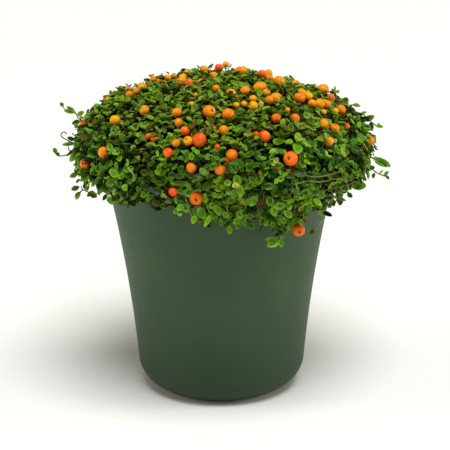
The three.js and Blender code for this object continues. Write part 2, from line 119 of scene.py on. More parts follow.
# Fruiting stems of the frame, by the end of their nodes' names. Each berry along a stem has an
# azimuth from +X towards +Y and an elevation from the heart in degrees, a diameter in
# millimetres, and a ripeness from 0, yellow-green, to 1, coral red.
FRUITING_STEMS = {
    "front": [(-100, -3, 7.4, 0.95), (-102, 9, 5.6, 0.8), (-100, 20, 7.4, 0.85), (-98, 36, 6.6, 0.6)],
    "front_left": [(-109, -1, 5, 0.9), (-112, 14, 5, 0.95), (-114, 28, 5, 0.3), (-118, 44, 5.2, 0.35)],
    "front_middle": [(-84, 4, 5.4, 0.85), (-86, 14, 6, 0.75), (-89, 25, 5.4, 0.6), (-86, 35, 6.6, 0.6)],
    "front_right": [(-63, 11, 7.4, 0.9), (-70, 21, 6, 0.85), (-60, 29, 5, 0.8), (-64, 42, 5.4, 0.15)],
    "right_low": [(-41, 14, 5.2, 0.5), (-35, 21, 5.6, 0.6), (-48, 27, 5.4, 0.8), (-42, 43, 6, 0.45)],
    "right": [(-8, 6, 5.4, 0.7), (-12, 22, 5.4, 0.7), (-20, 29, 6, 0.6), (-26, 37, 6.4, 0.65)],
    "top_right": [(8, 30, 6.2, 0.5), (14, 49, 6.4, 0.45), (-24, 60, 6.2, 0.4), (-72, 66, 6, 0.2)],
    "top": [(172, 60, 6, 0.45), (135, 66, 6, 0.5), (100, 52, 5.6, 0.4), (76, 40, 6, 0.6)],
    "left_low": [(-158, 1, 5.4, 0.7), (-144, 9, 6, 0.55), (-149, 22, 5.6, 0.35), (-140, 31, 5.4, 0.5)],
    "left": [(-170, 14, 5.4, 0.65), (178, 24, 5.2, 0.6), (168, 37, 5.6, 0.45), (146, 40, 5.6, 0.5)],
    "back_left": [(142, 2, 5.4, 0.8), (134, 14, 6, 0.7), (126, 26, 5.6, 0.5), (118, 38, 5.2, 0.35)],
    "back": [(98, 0, 6, 0.85), (92, 13, 5.4, 0.65), (97, 26, 6.2, 0.5)],
    "back_right": [(62, 4, 5.4, 0.7), (54, 16, 6.4, 0.8), (60, 29, 5.4, 0.5), (44, 44, 5.8, 0.6)],
    "right_back": [(24, 3, 5.6, 0.8), (32, 15, 5.8, 0.6), (24, 26, 5.4, 0.55)],
}

# Depth of a berry's foot under the mat's surface, how much prouder berries stand towards the
# sides, and how much lower the covered ones do
BERRY_DEPTH = 5.2 * MM
BERRY_REACH = 2.4 * MM
COVERED_SINK = 1.2 * MM

# Berries of those stems that the photograph shows half covered by leaves, or not at all
COVERED_BERRIES = {
    "front_left": [3], "front_middle": [0], "left": [1], "left_low": [0, 1],
    "right": [0], "right_low": [1], "top_right": [3],
}

# Berries seen between those of the stems: the pixel of each in the photograph, its diameter in
# millimetres and its ripeness
TOPMOST_BERRIES = [(226, 64, 3.7, 0.2)]
BACK_EDGE_BERRIES = [
    (204, 70, 4.5, 0.35), (219, 68, 4.8, 0.85), (243, 71, 5.6, 0.5),
    (173, 74, 3.4, 0.2), (168, 78, 3.8, 0.4), (153, 79, 3.8, 0.45), (136, 91, 3.8, 0.5),
    (129, 94, 3.8, 0.55), (183, 77, 4, 0.4), (270, 71, 4.3, 0.25), (302, 92, 4, 0.5),
    (262, 74, 4.8, 0.8), (189, 83, 4.6, 0.75),
]
CROWN_BERRIES = [
    (216, 89, 4.6, 0.45), (245, 91, 5.6, 0.5), (253, 99, 4.3, 0.35), (244, 104, 3.6, 0.3),
    (236, 105, 3.4, 0.2), (196, 95, 2.8, 0.12), (262, 87, 5.1, 0.4), (266, 93, 4.3, 0.35),
    (278, 97, 4.3, 0.4), (261, 104, 3, 0.3), (270, 100, 5, 0.45),
]
RIGHT_SHOULDER_BERRIES = [
    (308, 96, 5.1, 0.3), (312, 104, 4.8, 0.45), (326, 104, 5.4, 0.6), (324, 112, 3, 0.2),
    (335, 111, 3.4, 0.1), (335, 128, 4.8, 0.7), (347, 126, 3.4, 0.85), (287, 110, 3, 0.35),
    (331, 98, 4.6, 0.65),
]
FRONT_BERRIES = [
    (177, 113, 5.4, 0.6), (185, 131, 5.1, 0.85), (188, 141, 5.1, 0.4), (176, 143, 4.3, 0.5),
    (220, 170, 5.6, 0.7),
]
SUNKEN_BERRIES = [
    (213, 129, 3.4, 0.9), (229, 160, 4.6, 0.9), (154, 139, 3.6, 1.0), (149, 136, 3.4, 1.0),
    (217, 147, 3.4, 1.0), (256, 135, 4, 0.95), (278, 167, 3.4, 0.95),
]
# Each group with how much prouder than usual its berries stand, in millimetres
SEEN_BERRIES = [
    (TOPMOST_BERRIES, 6.2), (BACK_EDGE_BERRIES, 2.8), (CROWN_BERRIES, 0.8),
    (RIGHT_SHOULDER_BERRIES, 1.0), (FRONT_BERRIES, 0.2), (SUNKEN_BERRIES, -1.6),
]

# Stray stems behind the mat, which the photograph doesn't show, as the frame has them, root to
# tip: azimuth in degrees, then distance from the pot's axis and height in millimetres
BACK_STEMS = {
    "back_left": [(128, 63, 126), (129, 74, 122), (129, 73, 114), (130, 69, 106)],
    "back_right": [(42, 64, 126), (41, 75, 123), (41, 78, 116), (42, 76, 109)],
}

# Stray stems that the photograph shows. Side sprigs lie in a plane so many millimetres behind the
# pot's axis, and front sprigs hang so many millimetres out from it. Stems are pixels from the mat
# outward, with their tone first. Leaves are the pixels of their foot and tip, their width as a
# share of the length, and their tone.
SIDE_SPRIGS = {
    "left_top": (7, [
        (0.1, [(86, 117), (79, 119), (76, 114), (69, 110)]),
        (1.0, [(69, 110), (65, 109), (62, 106)]),
        (0.1, [(92, 124), (84, 121), (79, 119)]),
    ], [
        (75, 113, 67, 107, 0.5, 0.25), (76, 114, 64, 112, 0.45, 0.8),
        (63, 107, 60, 103, 0.95, 0.35), (77, 116, 84, 112, 0.7, 0.75), (79, 119, 77, 128, 0.6, 0.6),
        (80, 121, 72, 124, 0.6, 0.3),
    ]),
    "left_curl": (3, [
        (0.0, [(84, 141), (78, 146), (72, 152), (66, 155), (59, 156), (56, 154), (55, 151)]),
        (0.3, [(78, 144), (71, 142), (67, 140), (62, 137), (61, 134), (64, 132), (67, 134)]),
        (0.1, [(72, 152), (69, 150), (68, 146)]),
        (0.0, [(82, 143), (77, 138), (72, 133)]),
    ], [
        (56, 154, 54, 148, 0.8, 0.6), (76, 145, 63, 145, 0.42, 0.55), (75, 141, 68, 138, 0.6, 0.07),
        (80, 152, 68, 160, 0.55, 0.75), (79, 149, 66, 154, 0.4, 0.5), (59, 156, 57, 152, 0.7, 0.45),
    ]),
    "left_low": (-12, [
        (0.2, [(104, 191), (97, 194), (90, 193), (84, 190), (80, 192), (76, 196)]),
        (0.0, [(92, 178), (84, 176), (77, 174)]),
        (0.0, [(88, 182), (83, 181), (78, 180)]),
    ], [
        (78, 174, 70, 176, 0.75, 0.55), (76, 174, 75, 169, 0.6, 0.6), (80, 179, 77, 183, 0.6, 0.02),
        (81, 186, 73, 189, 0.5, 0.2), (81, 192, 74, 199, 0.55, 0.7), (85, 189, 84, 184, 0.7, 0.03),
        (90, 193, 97, 197, 0.8, 0.65), (95, 192, 88, 197, 0.7, 0.5), (104, 191, 99, 186, 0.8, 0.15),
        (107, 193, 103, 200, 0.5, 0.1), (112, 192, 121, 200, 0.8, 0.85),
        (110, 195, 112, 204, 0.8, 0.7),
    ]),
    "right_top": (-6, [
        (0.4, [(350, 112), (357, 116), (361, 114), (365, 116), (370, 121), (377, 126)]),
        (0.5, [(352, 118), (356, 117), (361, 114)]),
    ], [
        (364, 122, 374, 117, 0.6, 0.5), (371, 123, 373, 131, 0.6, 0.2),
        (375, 126, 383, 127, 0.5, 0.8), (377, 127, 379, 123, 0.5, 0.55),
        (352, 105, 360, 105, 0.7, 0.55), (343, 104, 348, 98, 0.9, 0.3),
        (335, 93, 339, 91, 0.7, 0.7), (335, 92, 335, 86, 0.35, 0.9), (334, 93, 330, 90, 0.7, 0.3),
    ]),
    "right_spear": (-7, [
        (0.0, [(362, 150), (369, 156), (374, 159)]),
        (0.1, [(368, 147), (372, 151), (374, 156)]),
        (0.1, [(365, 166), (373, 170), (379, 174), (386, 176)]),
        (0.0, [(370, 142), (374, 145), (377, 147)]),
    ], [
        (373, 157, 391, 167, 0.35, 0.6), (374, 161, 386, 166, 0.3, 0.15),
        (375, 173, 372, 178, 0.7, 0.5), (384, 177, 389, 172, 0.6, 0.55),
        (385, 175, 389, 179, 0.5, 0.35), (379, 174, 383, 170, 0.35, 0.9),
        (370, 144, 375, 137, 0.8, 0.5), (366, 170, 374, 167, 0.7, 0.3),
    ]),
    "right_low": (-18, [
        (0.7, [(336, 190), (343, 189), (350, 187), (358, 184)]),
        (0.2, [(345, 189), (348, 192), (350, 195)]),
        (0.1, [(334, 192), (338, 194), (340, 198)]),
    ], [
        (349, 187, 365, 187, 0.72, 0.8), (347, 193, 352, 197, 0.8, 0.3),
        (340, 194, 340, 204, 0.6, 0.15), (330, 198, 334, 206, 0.75, 0.15),
        (343, 191, 337, 197, 0.7, 0.3),
    ]),
}
FRONT_SPRIGS = {
    "front_left": (70, [
        (0.8, [(186, 198), (188, 205), (190, 212), (193, 219)]),
        (0.8, [(207, 205), (210, 212), (216, 216), (221, 214)]),
        (0.0, [(156, 196), (160, 201), (166, 204)]),
    ], [
        (196, 215, 192, 223, 0.7, 0.85), (198, 208, 204, 217, 0.8, 0.45),
        (212, 214, 205, 225, 0.36, 0.85), (184, 205, 177, 210, 0.8, 0.8),
        (181, 208, 174, 213, 0.7, 0.6), (183, 204, 188, 212, 0.85, 0.4),
        (180, 206, 179, 216, 0.7, 0.7), (155, 198, 159, 206, 0.7, 0.0),
        (163, 199, 169, 206, 0.6, 0.0), (160, 194, 166, 198, 0.6, 0.95),
        (214, 205, 221, 214, 0.7, 0.5), (218, 210, 212, 218, 0.7, 0.3),
    ]),
    "front": (69, [
        (0.7, [(226, 206), (229, 214), (229, 222), (230, 230)]),
        (0.6, [(259, 213), (252, 218), (244, 224)]),
        (0.7, [(238, 208), (240, 215), (240, 222)]),
    ], [
        (229, 226, 230, 234, 0.75, 0.88), (240, 221, 237, 229, 0.7, 0.7),
        (248, 224, 254, 229, 0.8, 0.45), (223, 212, 228, 218, 0.8, 0.5),
        (232, 213, 226, 219, 0.7, 0.35), (237, 211, 242, 218, 0.8, 0.55),
        (246, 214, 240, 222, 0.7, 0.3), (250, 204, 260, 200, 0.75, 0.8),
        (256, 203, 247, 200, 0.8, 0.75), (232, 220, 224, 227, 0.6, 0.4),
    ]),
    "front_right": (69, [
        (0.0, [(264, 192), (265, 203), (264, 214), (262, 226), (259, 231)]),
        (0.05, [(264, 210), (267, 216), (274, 223), (279, 229), (281, 236), (278, 243)]),
        (0.7, [(272, 196), (273, 204), (274, 212)]),
    ], [
        (279, 240, 269, 245, 0.7, 0.9), (280, 239, 281, 247, 0.7, 0.7),
        (277, 241, 266, 240, 0.5, 0.5), (281, 236, 283, 241, 0.7, 0.85),
        (272, 206, 268, 197, 0.85, 0.45), (274, 207, 285, 206, 0.75, 0.5),
        (273, 206, 275, 216, 0.75, 0.7), (270, 206, 264, 213, 0.6, 0.3),
        (275, 222, 282, 219, 0.7, 0.35), (274, 224, 283, 229, 0.5, 0.3),
        (286, 222, 292, 215, 0.7, 0.3), (288, 219, 284, 228, 0.6, 0.45),
        (276, 225, 271, 231, 0.6, 0.25), (277, 229, 283, 234, 0.6, 0.2),
        (280, 233, 274, 236, 0.55, 0.15), (281, 226, 287, 232, 0.5, 0.3),
    ]),
    "front_pale": (68, [
        (1.0, [(320, 206), (322, 211), (325, 216), (319, 224), (313, 231)]),
        (0.9, [(294, 215), (294, 221), (291, 227), (286, 232)]),
        (0.4, [(298, 206), (304, 204), (312, 202)]),
    ], [
        (314, 230, 309, 234, 0.9, 0.5), (300, 215, 294, 221, 0.75, 0.2),
        (303, 208, 295, 213, 0.75, 0.03), (297, 204, 305, 200, 0.75, 0.85),
        (306, 205, 312, 199, 0.75, 0.8), (312, 204, 320, 201, 0.8, 0.3),
        (316, 204, 323, 208, 0.6, 0.35), (288, 229, 291, 221, 0.6, 0.75),
        (323, 212, 332, 216, 0.45, 0.1),
    ]),
}
# Bare stems that lie over the leaves, with their tone, as pixels from root to tip
LYING_STEMS = [
    (0.6, [(292, 183), (304, 180), (318, 181), (331, 178), (345, 180)]),
    (0.55, [(306, 194), (318, 190), (330, 187), (343, 184), (352, 180)]),
    (0.6, [(300, 174), (313, 176), (326, 174), (338, 170)]),
    (0.5, [(322, 195), (331, 191), (339, 194)]),
    (0.85, [(186, 93), (193, 89), (201, 91), (208, 88)]),
    (0.8, [(168, 88), (176, 84), (187, 86)]),
    (0.05, [(262, 168), (261, 178), (263, 188)]),
    (0.9, [(132, 167), (136, 173), (137, 181)]),
    (0.8, [(204, 157), (210, 155), (217, 158)]),
]
# How far those stems stand over the mat's surface
LYING_HEIGHT = 1.4 * MM

# Front sprigs lie on the skirt's face above a height and hang free below it, with their stems so
# far behind their leaves
SPRIGS_HANG_BELOW = 108 * MM
SKIRT_FACE_RADIUS = 76.5 * MM
FRONT_STEMS_BEHIND = 1.8 * MM

# The stem that hangs in front of the pot, as the routes above, and its berry: its diameter and
# how far it takes in the stem's end, in millimetres, the way its end faces and its ripeness
HANGING_ROUTE = [(-50, 63, 126), (-51, 71, 121), (-52.5, 69, 112), (-53.5, 66.5, 105)]
HANGING_BERRY = 6.8
HANGING_OVERLAP = 1.6
HANGING_FACING = Vector((0.1, -0.95, -0.1))
HANGING_RIPENESS = 0.95

# The space that a leaf keeps from other leaves and from the pot, and from a berry as a share of
# the leaf's length
LEAF_SPACING = 1.5 * MM
LEAF_CLEARANCE = 0.7 * MM
LEAF_MARGIN = 0.24

# Shares of the leaves that have withered, below a height and above it, and that have turned pale
CROWN_HEIGHT = 148 * MM
DRY_SHARE = 0.012
DRY_CROWN_SHARE = 0.028
PALE_SHARE = 0.022

# The tone of a leaf and its spread, and how much painted shade darkens it for each millimetre of depth
LEAF_TONE = 0.39
TONE_SPREAD = 0.26
SHADE_BY_DEPTH = 0.08

# Rising tips: their length, and in millimetres how deep their ends lie under the mat's surface
# and how much prouder some stand. Each pair of leaves has its place along the tip, its size, its
# lean towards the tip's end and its added tone.
TIP_LENGTH = 8.5 * MM
TIP_DEPTHS = (-0.3, 3.0)
TIP_PROUD = (1, 4)
TIP_PAIRS = ((0.45, 1, 0.1, -0.08), (0.75, 0.95, 0.25, 0), (0.97, 0.6, 0.7, 0.22))

# Patches of younger and older leaves on them: their size, and how far they differ in tone
PATCH_SIZE = 16 * MM
PATCH_TONE = 0.55

# Creeping shoots: the spacing of their feet, how far they rise and dip, and in millimetres the
# depths of their feet and ends and the distance from node to node
RUNNER_SPACING = 11 * MM
RUNNER_WAVE = 1.2 * MM
RUNNER_FOOT_DEPTHS = (5, 7)
RUNNER_END_DEPTHS = (0.6, 3)
RUNNER_STRIDES = (3.6, 5.2)

# Shoots of the skirt: the depth of their feet, and in millimetres their own depths under the
# mat's surface, taken in turn, and the distance from node to node
HANGING_FOOT_DEPTH = 8.5 * MM
HANGING_DEPTHS = (1, 5, 3, 9)
HANGING_STRIDES = (3.2, 4.4)
# Share of them left out at the left and right
THINNED_AT_SIDES = 0.35

# How often a free place is looked for: for tips, creeping shoots and the berries behind
TIP_TRIES = 40000
RUNNER_TRIES = 6000
BERRY_TRIES = 4000

# Stems behind the mat: their tone, the share of them before the first leaf, and the first and
# last leaf as shares of a full-grown one
BACK_STEM_TONE = 0.45
BARE_SHARE = 0.35
BACK_LEAF_SIZES = (0.95, 0.6)

# Berries behind the mat: the range of their azimuths and their highest elevation in degrees, and
# their diameters in millimetres
BEHIND_AZIMUTHS = (-15, 195)
BEHIND_HIGHEST = 36
BEHIND_SIZES = (3.6, 6.4)

# The stage, in metres: the floor, the aim and spread of the light overhead, the place and size of
# the right side light, how much stronger it is than the left one, and the point that both light
FLOOR_RADIUS = 8
SKY_AIM = Vector((-0.1, 0.36, -1))
SKY_SPREAD = math.radians(36)
SIDE_LIGHT_PLACE = (3.9, -0.3, 1.15)
SIDE_LIGHT_SIZE = 2.1
RIGHT_LIGHT_SHARE = 1.35
LIT_POINT = Vector((0, 0, 0.1))


def linear(hex_colour):
    """A colour written as sRGB hex, as the linear red, green and blue that shaders take."""
    channels = [int(hex_colour[i:i + 2], 16) / 255 for i in (1, 3, 5)]
    return [c / 12.92 if c <= 0.04045 else ((c + 0.055) / 1.055) ** 2.4 for c in channels]


def colour_property(name, description, hex_colour):
    return bpy.props.FloatVectorProperty(
        name=name, description=description, subtype="COLOR", size=3, min=0, max=1,
        default=linear(hex_colour),
    )


def number_property(name, description, default, unit="NONE"):
    return bpy.props.FloatProperty(
        name=name, description=description, unit=unit, min=0, default=default,
    )


def length_property(name, description, default):
    return number_property(name, description, default, "LENGTH")


def count_property(name, description, default):
    return bpy.props.IntProperty(name=name, description=description, min=0, default=default)


class CoralPotSettings(bpy.types.PropertyGroup):
    """The pot and the soil in it"""
    rim_radius: length_property("Rim radius", "Outer radius at the rim", POT_RIM_RADIUS)
    height: length_property("Height", "Height of the pot", POT_HEIGHT)
    plastic: colour_property("Plastic", "Colour of the moulded pot", "#3e543a")
    soil: colour_property("Peat", "Colour of the potting soil", "#33241a")
    soil_light: colour_property("Dry crumbs", "Colour of the driest crumbs", "#5d4534")


class CoralMatSettings(bpy.types.PropertyGroup):
    """The mat of creeping shoots and its leaves"""
    radius_across: length_property("Radius across", "Reach of the mat to each side", 77 * MM)
    radius_deep: length_property("Radius front to back", "Reach of the mat to the front", 75.5 * MM)
    rise: length_property("Rise", "Height of the dome above its heart", 37.5 * MM)
    droop: length_property("Droop", "Size of the skirt below the heart", 38 * MM)
    lumps: length_property("Lumps", "How far the surface swells and sinks", 2.2 * MM)
    leaf_length: length_property("Leaf length", "Length of a full-grown leaf", 5.5 * MM)
    tip_spacing: length_property("Tip spacing", "Distance between rising shoot tips", 4.55 * MM)
    stem_radius: length_property("Stem radius", "Radius of a creeping stem", 0.3 * MM)
    straggle: number_property("Straggle", "Share of tips that stand proud", 0.14)
    runners: count_property("Runners", "Shoots that creep over the mat", 150)
    hanging: count_property("Hanging shoots", "Shoots of the skirt", 222)
    # Deep green is also painted shade: leaves deep in the mat and the middle of every leaf are darkened
    # towards it.
    deep_green_and_shade: colour_property("Deep green", "Oldest leaves, deep in the mat", "#0b2503")
    leaf_green: colour_property("Leaf green", "Full-grown leaves", "#327206")
    young_green: colour_property("Young green", "Leaves at the tips", "#82bc1c")
    # Sunned leaf is also painted light: leaves towards the top are mixed towards it.
    sunned_leaf: colour_property("Sunned leaf", "Leaves yellowed by the light", "#7c860c")
    pale_leaf: colour_property("Pale leaf", "Leaves that turn yellow", "#b0ac3c")
    dry_leaf: colour_property("Dry leaf", "Withered leaves", "#6c4420")
    # The leaf rim colour is painted light on each leaf's edge, and partly a painted highlight on its
    # midrib.
    leaf_rim: colour_property("Leaf rim", "Thin edge of a leaf", "#9cc42c")
    leaf_back: colour_property("Leaf back", "Underside of a leaf", "#6f9438")
    old_stem: colour_property("Old stem", "Woody creeping stems", "#2a150a")
    tan_stem: colour_property("Tan stem", "Stems in the light", "#664d2a")
    pale_stem: colour_property("Pale stem", "Young green stems", "#a5bb66")
    # The tangle's colours are darkened near to black: painted shade over the old stems' own dark
    # colour.
    tangle: colour_property("Tangle", "Dark mass of old stems inside the mat", "#0f0d06")
    tangle_light: colour_property("Tangle strands", "Strands in the dark mass", "#1c240c")


class CoralFruitSettings(bpy.types.PropertyGroup):
    """The berries"""
    lift: length_property("Lift", "How far all the berries are lifted", 0.6 * MM)
    hidden_spacing: length_property("Spacing behind", "Least distance between berries behind", 18 * MM)
    unripe: colour_property("Unripe", "Skin before it ripens", "#c4b422")
    amber: colour_property("Amber", "Skin half ripe", "#fcac0a")
    orange: colour_property("Orange", "Skin of most berries", "#f08208")
    coral: colour_property("Coral", "Skin fully ripe", "#f04a08")
    calyx: colour_property("Calyx", "Dried calyx at the berry's end", "#6e431c")


class CoralStageSettings(bpy.types.PropertyGroup):
    """Floor, lights and surroundings"""
    floor: colour_property("Floor", "Pale floor", "#f4f4f2")
    surroundings: colour_property("Surroundings", "Colour of the studio", "#fffdee")
    ambient: number_property("Ambient", "Strength of the surroundings", 0.2)
    sky_power: number_property("Overhead light", "Watts per square metre", 2.85)
    side_power: number_property("Side lights", "Watts of the left side light", 49.5)
    side_tint: colour_property("Side tint", "Slight warmth of the side lights", "#fffbf0")


def add_node(tree, kind, inputs=None, **settings):
    """Adds a shader node; inputs are values or other nodes' sockets by the name of the input."""
    node = tree.nodes.new(kind)
    for name, value in settings.items():
        setattr(node, name, value)
    for name, value in (inputs or {}).items():
        if isinstance(value, bpy.types.NodeSocket):
            tree.links.new(value, node.inputs[name])
        else:
            node.inputs[name].default_value = value
    return node


def new_material(name):
    """An empty material with its output, and its node tree."""
    material = bpy.data.materials.new(name)
    material.use_nodes = True
    material.node_tree.nodes.clear()
    return material, material.node_tree


def dimmed(colour, share):
    """A colour at a share of its brightness."""
    return [channel * share for channel in colour]


def computed(tree, operation, *values):
    """The result of a math node."""
    return add_node(
        tree, "ShaderNodeMath", dict(enumerate(values)), operation=operation,
    ).outputs[0]


def height_of(tree):
    """The height of a point over the surface that the plant stands on."""
    place = add_node(tree, "ShaderNodeTexCoord").outputs["Object"]
    return add_node(tree, "ShaderNodeSeparateXYZ", {"Vector": place}).outputs["Z"]


def colour_ramp(tree, factor, stops):
    """A ramp through the stops, each a place and a linear colour."""
    ramp = add_node(tree, "ShaderNodeValToRGB", {"Fac": factor})
    elements = ramp.color_ramp.elements
    while len(elements) < len(stops):
        elements.new(1.0)
    for element, (place, colour) in zip(elements, stops):
        element.position = place
        element.color = (*colour, 1)
    return ramp.outputs["Color"]


def noise_pattern(tree, grain, detail=2.0):
    """Noise on the piece's own coordinates, whose features are about one grain across."""
    place = add_node(tree, "ShaderNodeTexCoord").outputs["Object"]
    return add_node(
        tree, "ShaderNodeTexNoise", {"Vector": place, "Scale": 1 / grain, "Detail": detail},
    ).outputs["Fac"]


def mixed(tree, factor, first, second):
    """Two colours mixed by a factor."""
    node = add_node(tree, "ShaderNodeMix", data_type="RGBA")
    for number, value in ((0, factor), (6, first), (7, second)):
        socket = node.inputs[number]
        if isinstance(value, bpy.types.NodeSocket):
            tree.links.new(value, socket)
        else:
            socket.default_value = value if isinstance(value, float) else (*value, 1)
    return node.outputs[2]


def ranged(tree, value, low, high, to_low=0.0, to_high=1.0):
    """A value moved from one range to another, with smooth ends."""
    return add_node(
        tree, "ShaderNodeMapRange",
        {"Value": value, "From Min": low, "From Max": high, "To Min": to_low, "To Max": to_high},
        interpolation_type="SMOOTHSTEP",
    ).outputs["Result"]


def bumped(tree, height, depth, strength=1.0):
    return add_node(
        tree, "ShaderNodeBump", {"Height": height, "Distance": depth, "Strength": strength},
    ).outputs["Normal"]


def surface_output(tree, inputs):
    """A Principled surface with the inputs, joined to the material's output."""
    shader = add_node(tree, "ShaderNodeBsdfPrincipled", inputs)
    add_node(tree, "ShaderNodeOutputMaterial", {"Surface": shader.outputs["BSDF"]})


def tone_of(tree):
    """The tone that each leaf, stem or berry carries in its mesh."""
    return add_node(tree, "ShaderNodeAttribute", attribute_name="tone").outputs["Fac"]


def moulded_pot_material(pot):
    """Polypropylene, injection moulded with a fine matt grain: a soft broad sheen that lightens
    towards both edges, and no sharp highlight. It is darker towards its foot, as painted shade."""
    material, tree = new_material("moulded_polypropylene")
    cloud = noise_pattern(tree, grain=30 * MM)
    grain = noise_pattern(tree, grain=0.9 * MM)
    colour = mixed(tree, ranged(tree, cloud, 0.35, 0.65), dimmed(pot.plastic, 0.9), pot.plastic)
    # Painted shade: the plastic's colour darkens towards the foot, over the lowest 80 mm.
    painted_foot_shade = ranged(tree, height_of(tree), 0.0, 80 * MM, 0.9, 0.0)
    colour = mixed(tree, painted_foot_shade, colour, dimmed(pot.plastic, 0.45))
    surface_output(tree, {
        "Base Color": colour,
        "Roughness": ranged(tree, grain, 0.3, 0.7, 0.5, 0.6),
        "IOR": 1.49,
        "Specular IOR Level": 0.15,
        "Normal": bumped(tree, grain, depth=0.03 * MM, strength=0.5),
    })
    return material


def peat_material(pot):
    """Peat-based potting soil: rough dark crumbs of 1 to 3 mm with a few drier, paler ones."""
    material, tree = new_material("peat_potting_soil")
    crumbs = noise_pattern(tree, grain=2 * MM, detail=6.0)
    colour = colour_ramp(tree, crumbs, [
        (0.3, dimmed(pot.soil, 0.4)), (0.55, pot.soil), (0.75, pot.soil_light),
    ])
    surface_output(tree, {
        "Base Color": colour, "Roughness": 0.95, "Normal": bumped(tree, crumbs, depth=0.8 * MM),
    })
    return material


def tangle_material(mat):
    """The inside of the mat: matted old stems and shed leaves in deep shade, in strands of 1 mm,
    coloured near to black as painted shade.
    """
    material, tree = new_material("matted_old_stems")
    strands = noise_pattern(tree, grain=1.2 * MM, detail=4.0)
    colour = mixed(tree, ranged(tree, strands, 0.45, 0.75), mat.tangle, mat.tangle_light)
    surface_output(tree, {
        "Base Color": colour, "Roughness": 0.9, "Specular IOR Level": 0.1,
        "Normal": bumped(tree, strands, depth=0.8 * MM),
    })
    return material


def leaf_material(mat):
    """A small fleshy leaf with a waxy cuticle: a soft sheen on saturated green, a thin pale rim
    of painted light where light would come through, a middle darkened by painted shade, a fine
    midrib that is partly painted highlight, and a paler, duller underside."""
    material, tree = new_material("fleshy_leaf")
    tone = tone_of(tree)
    # Low tones are the oldest leaves, and also painted shade on leaves deep in the mat.
    body = colour_ramp(tree, tone, [
        (0.0, mat.dry_leaf), (0.05, mat.deep_green_and_shade), (0.42, mat.leaf_green), (0.9, mat.young_green),
        (1.0, mat.pale_leaf),
    ])
    blotches = noise_pattern(tree, grain=1.6 * MM)
    body = mixed(tree, ranged(tree, blotches, 0.35, 0.65, 0.0, 0.22), body, [0.0, 0.02, 0.0])
    # Towards the top the leaves turn yellower and lighter: partly their own sun-yellowed colour, partly
    # painted light from above.
    sunned_and_top_light = ranged(tree, height_of(tree), 140 * MM, 166 * MM, 0.0, 0.62)
    patches = ranged(tree, noise_pattern(tree, grain=14 * MM), 0.42, 0.66, 0.0, 0.34)
    body = mixed(tree, sunned_and_top_light, body, mixed(tree, 0.5, body, mat.sunned_leaf))
    body = mixed(tree, patches, body, mixed(tree, 0.6, body, mat.sunned_leaf))

    uv = add_node(tree, "ShaderNodeUVMap", uv_map="UVMap").outputs["UV"]
    parts = add_node(tree, "ShaderNodeSeparateXYZ", {"Vector": uv}).outputs
    is_back = computed(tree, "GREATER_THAN", parts["X"], 1.5)
    folded = computed(tree, "MODULO", parts["X"], 2.0)
    flat = add_node(tree, "ShaderNodeCombineXYZ", {"X": folded, "Y": parts["Y"]})
    from_centre = add_node(
        tree, "ShaderNodeVectorMath", {0: flat.outputs[0], 1: (0.5, 0.5, 0)}, operation="DISTANCE",
    ).outputs["Value"]
    from_midrib = computed(tree, "ABSOLUTE", computed(tree, "SUBTRACT", parts["Y"], 0.5))

    # Painted shade: each leaf darkens towards its middle, as in the hollow of its cup.
    middle = ranged(tree, from_centre, 0.1, 0.42, 0.42, 0.0)
    # Painted light: a thin pale rim on every leaf, where light would come through its edge.
    rim = ranged(tree, from_centre, 0.4, 0.5, 0.0, 0.4)
    # The pale midrib is partly the vein's own colour, partly a painted highlight along its crease.
    midrib = ranged(tree, from_midrib, 0.0, 0.05, 0.2, 0.0)
    # How strongly the painted rim light and midrib highlight show: weaker on leaves darkened by painted
    # shade; the pale underside follows it too.
    lit = ranged(tree, tone, 0.05, 0.34, 0.15, 1.0)
    vein_and_painted_rim_light = mixed(tree, lit, body, mat.leaf_rim)
    colour = mixed(tree, middle, body, mat.deep_green_and_shade)
    colour = mixed(tree, midrib, colour, vein_and_painted_rim_light)
    colour = mixed(tree, rim, colour, vein_and_painted_rim_light)
    back = mixed(tree, 0.5, body, mixed(tree, lit, body, mat.leaf_back))
    colour = mixed(tree, is_back, colour, back)
    colour = mixed(tree, ranged(tree, tone, 0.0, 0.05), mat.dry_leaf, colour)
    surface_output(tree, {
        "Base Color": colour,
        "Roughness": ranged(tree, blotches, 0.3, 0.7, 0.26, 0.4),
        "IOR": 1.45,
        "Specular IOR Level": 0.17,
        "Normal": bumped(
            tree, noise_pattern(tree, grain=0.8 * MM), depth=0.12 * MM, strength=0.6,
        ),
    })
    return material


def stem_material(mat):
    """Thin creeping stems: dark and woody when old, pinkish tan in the light, pale green young."""
    material, tree = new_material("creeping_stem")
    colour = colour_ramp(tree, tone_of(tree), [
        (0.0, mat.old_stem), (0.5, mat.tan_stem), (1.0, mat.pale_stem),
    ])
    mottle = noise_pattern(tree, grain=4 * MM)
    colour = mixed(tree, ranged(tree, mottle, 0.35, 0.65, 0.0, 0.4), colour, mat.old_stem)
    surface_output(tree, {
        "Base Color": colour, "Roughness": 0.6, "IOR": 1.45, "Specular IOR Level": 0.2,
    })
    return material


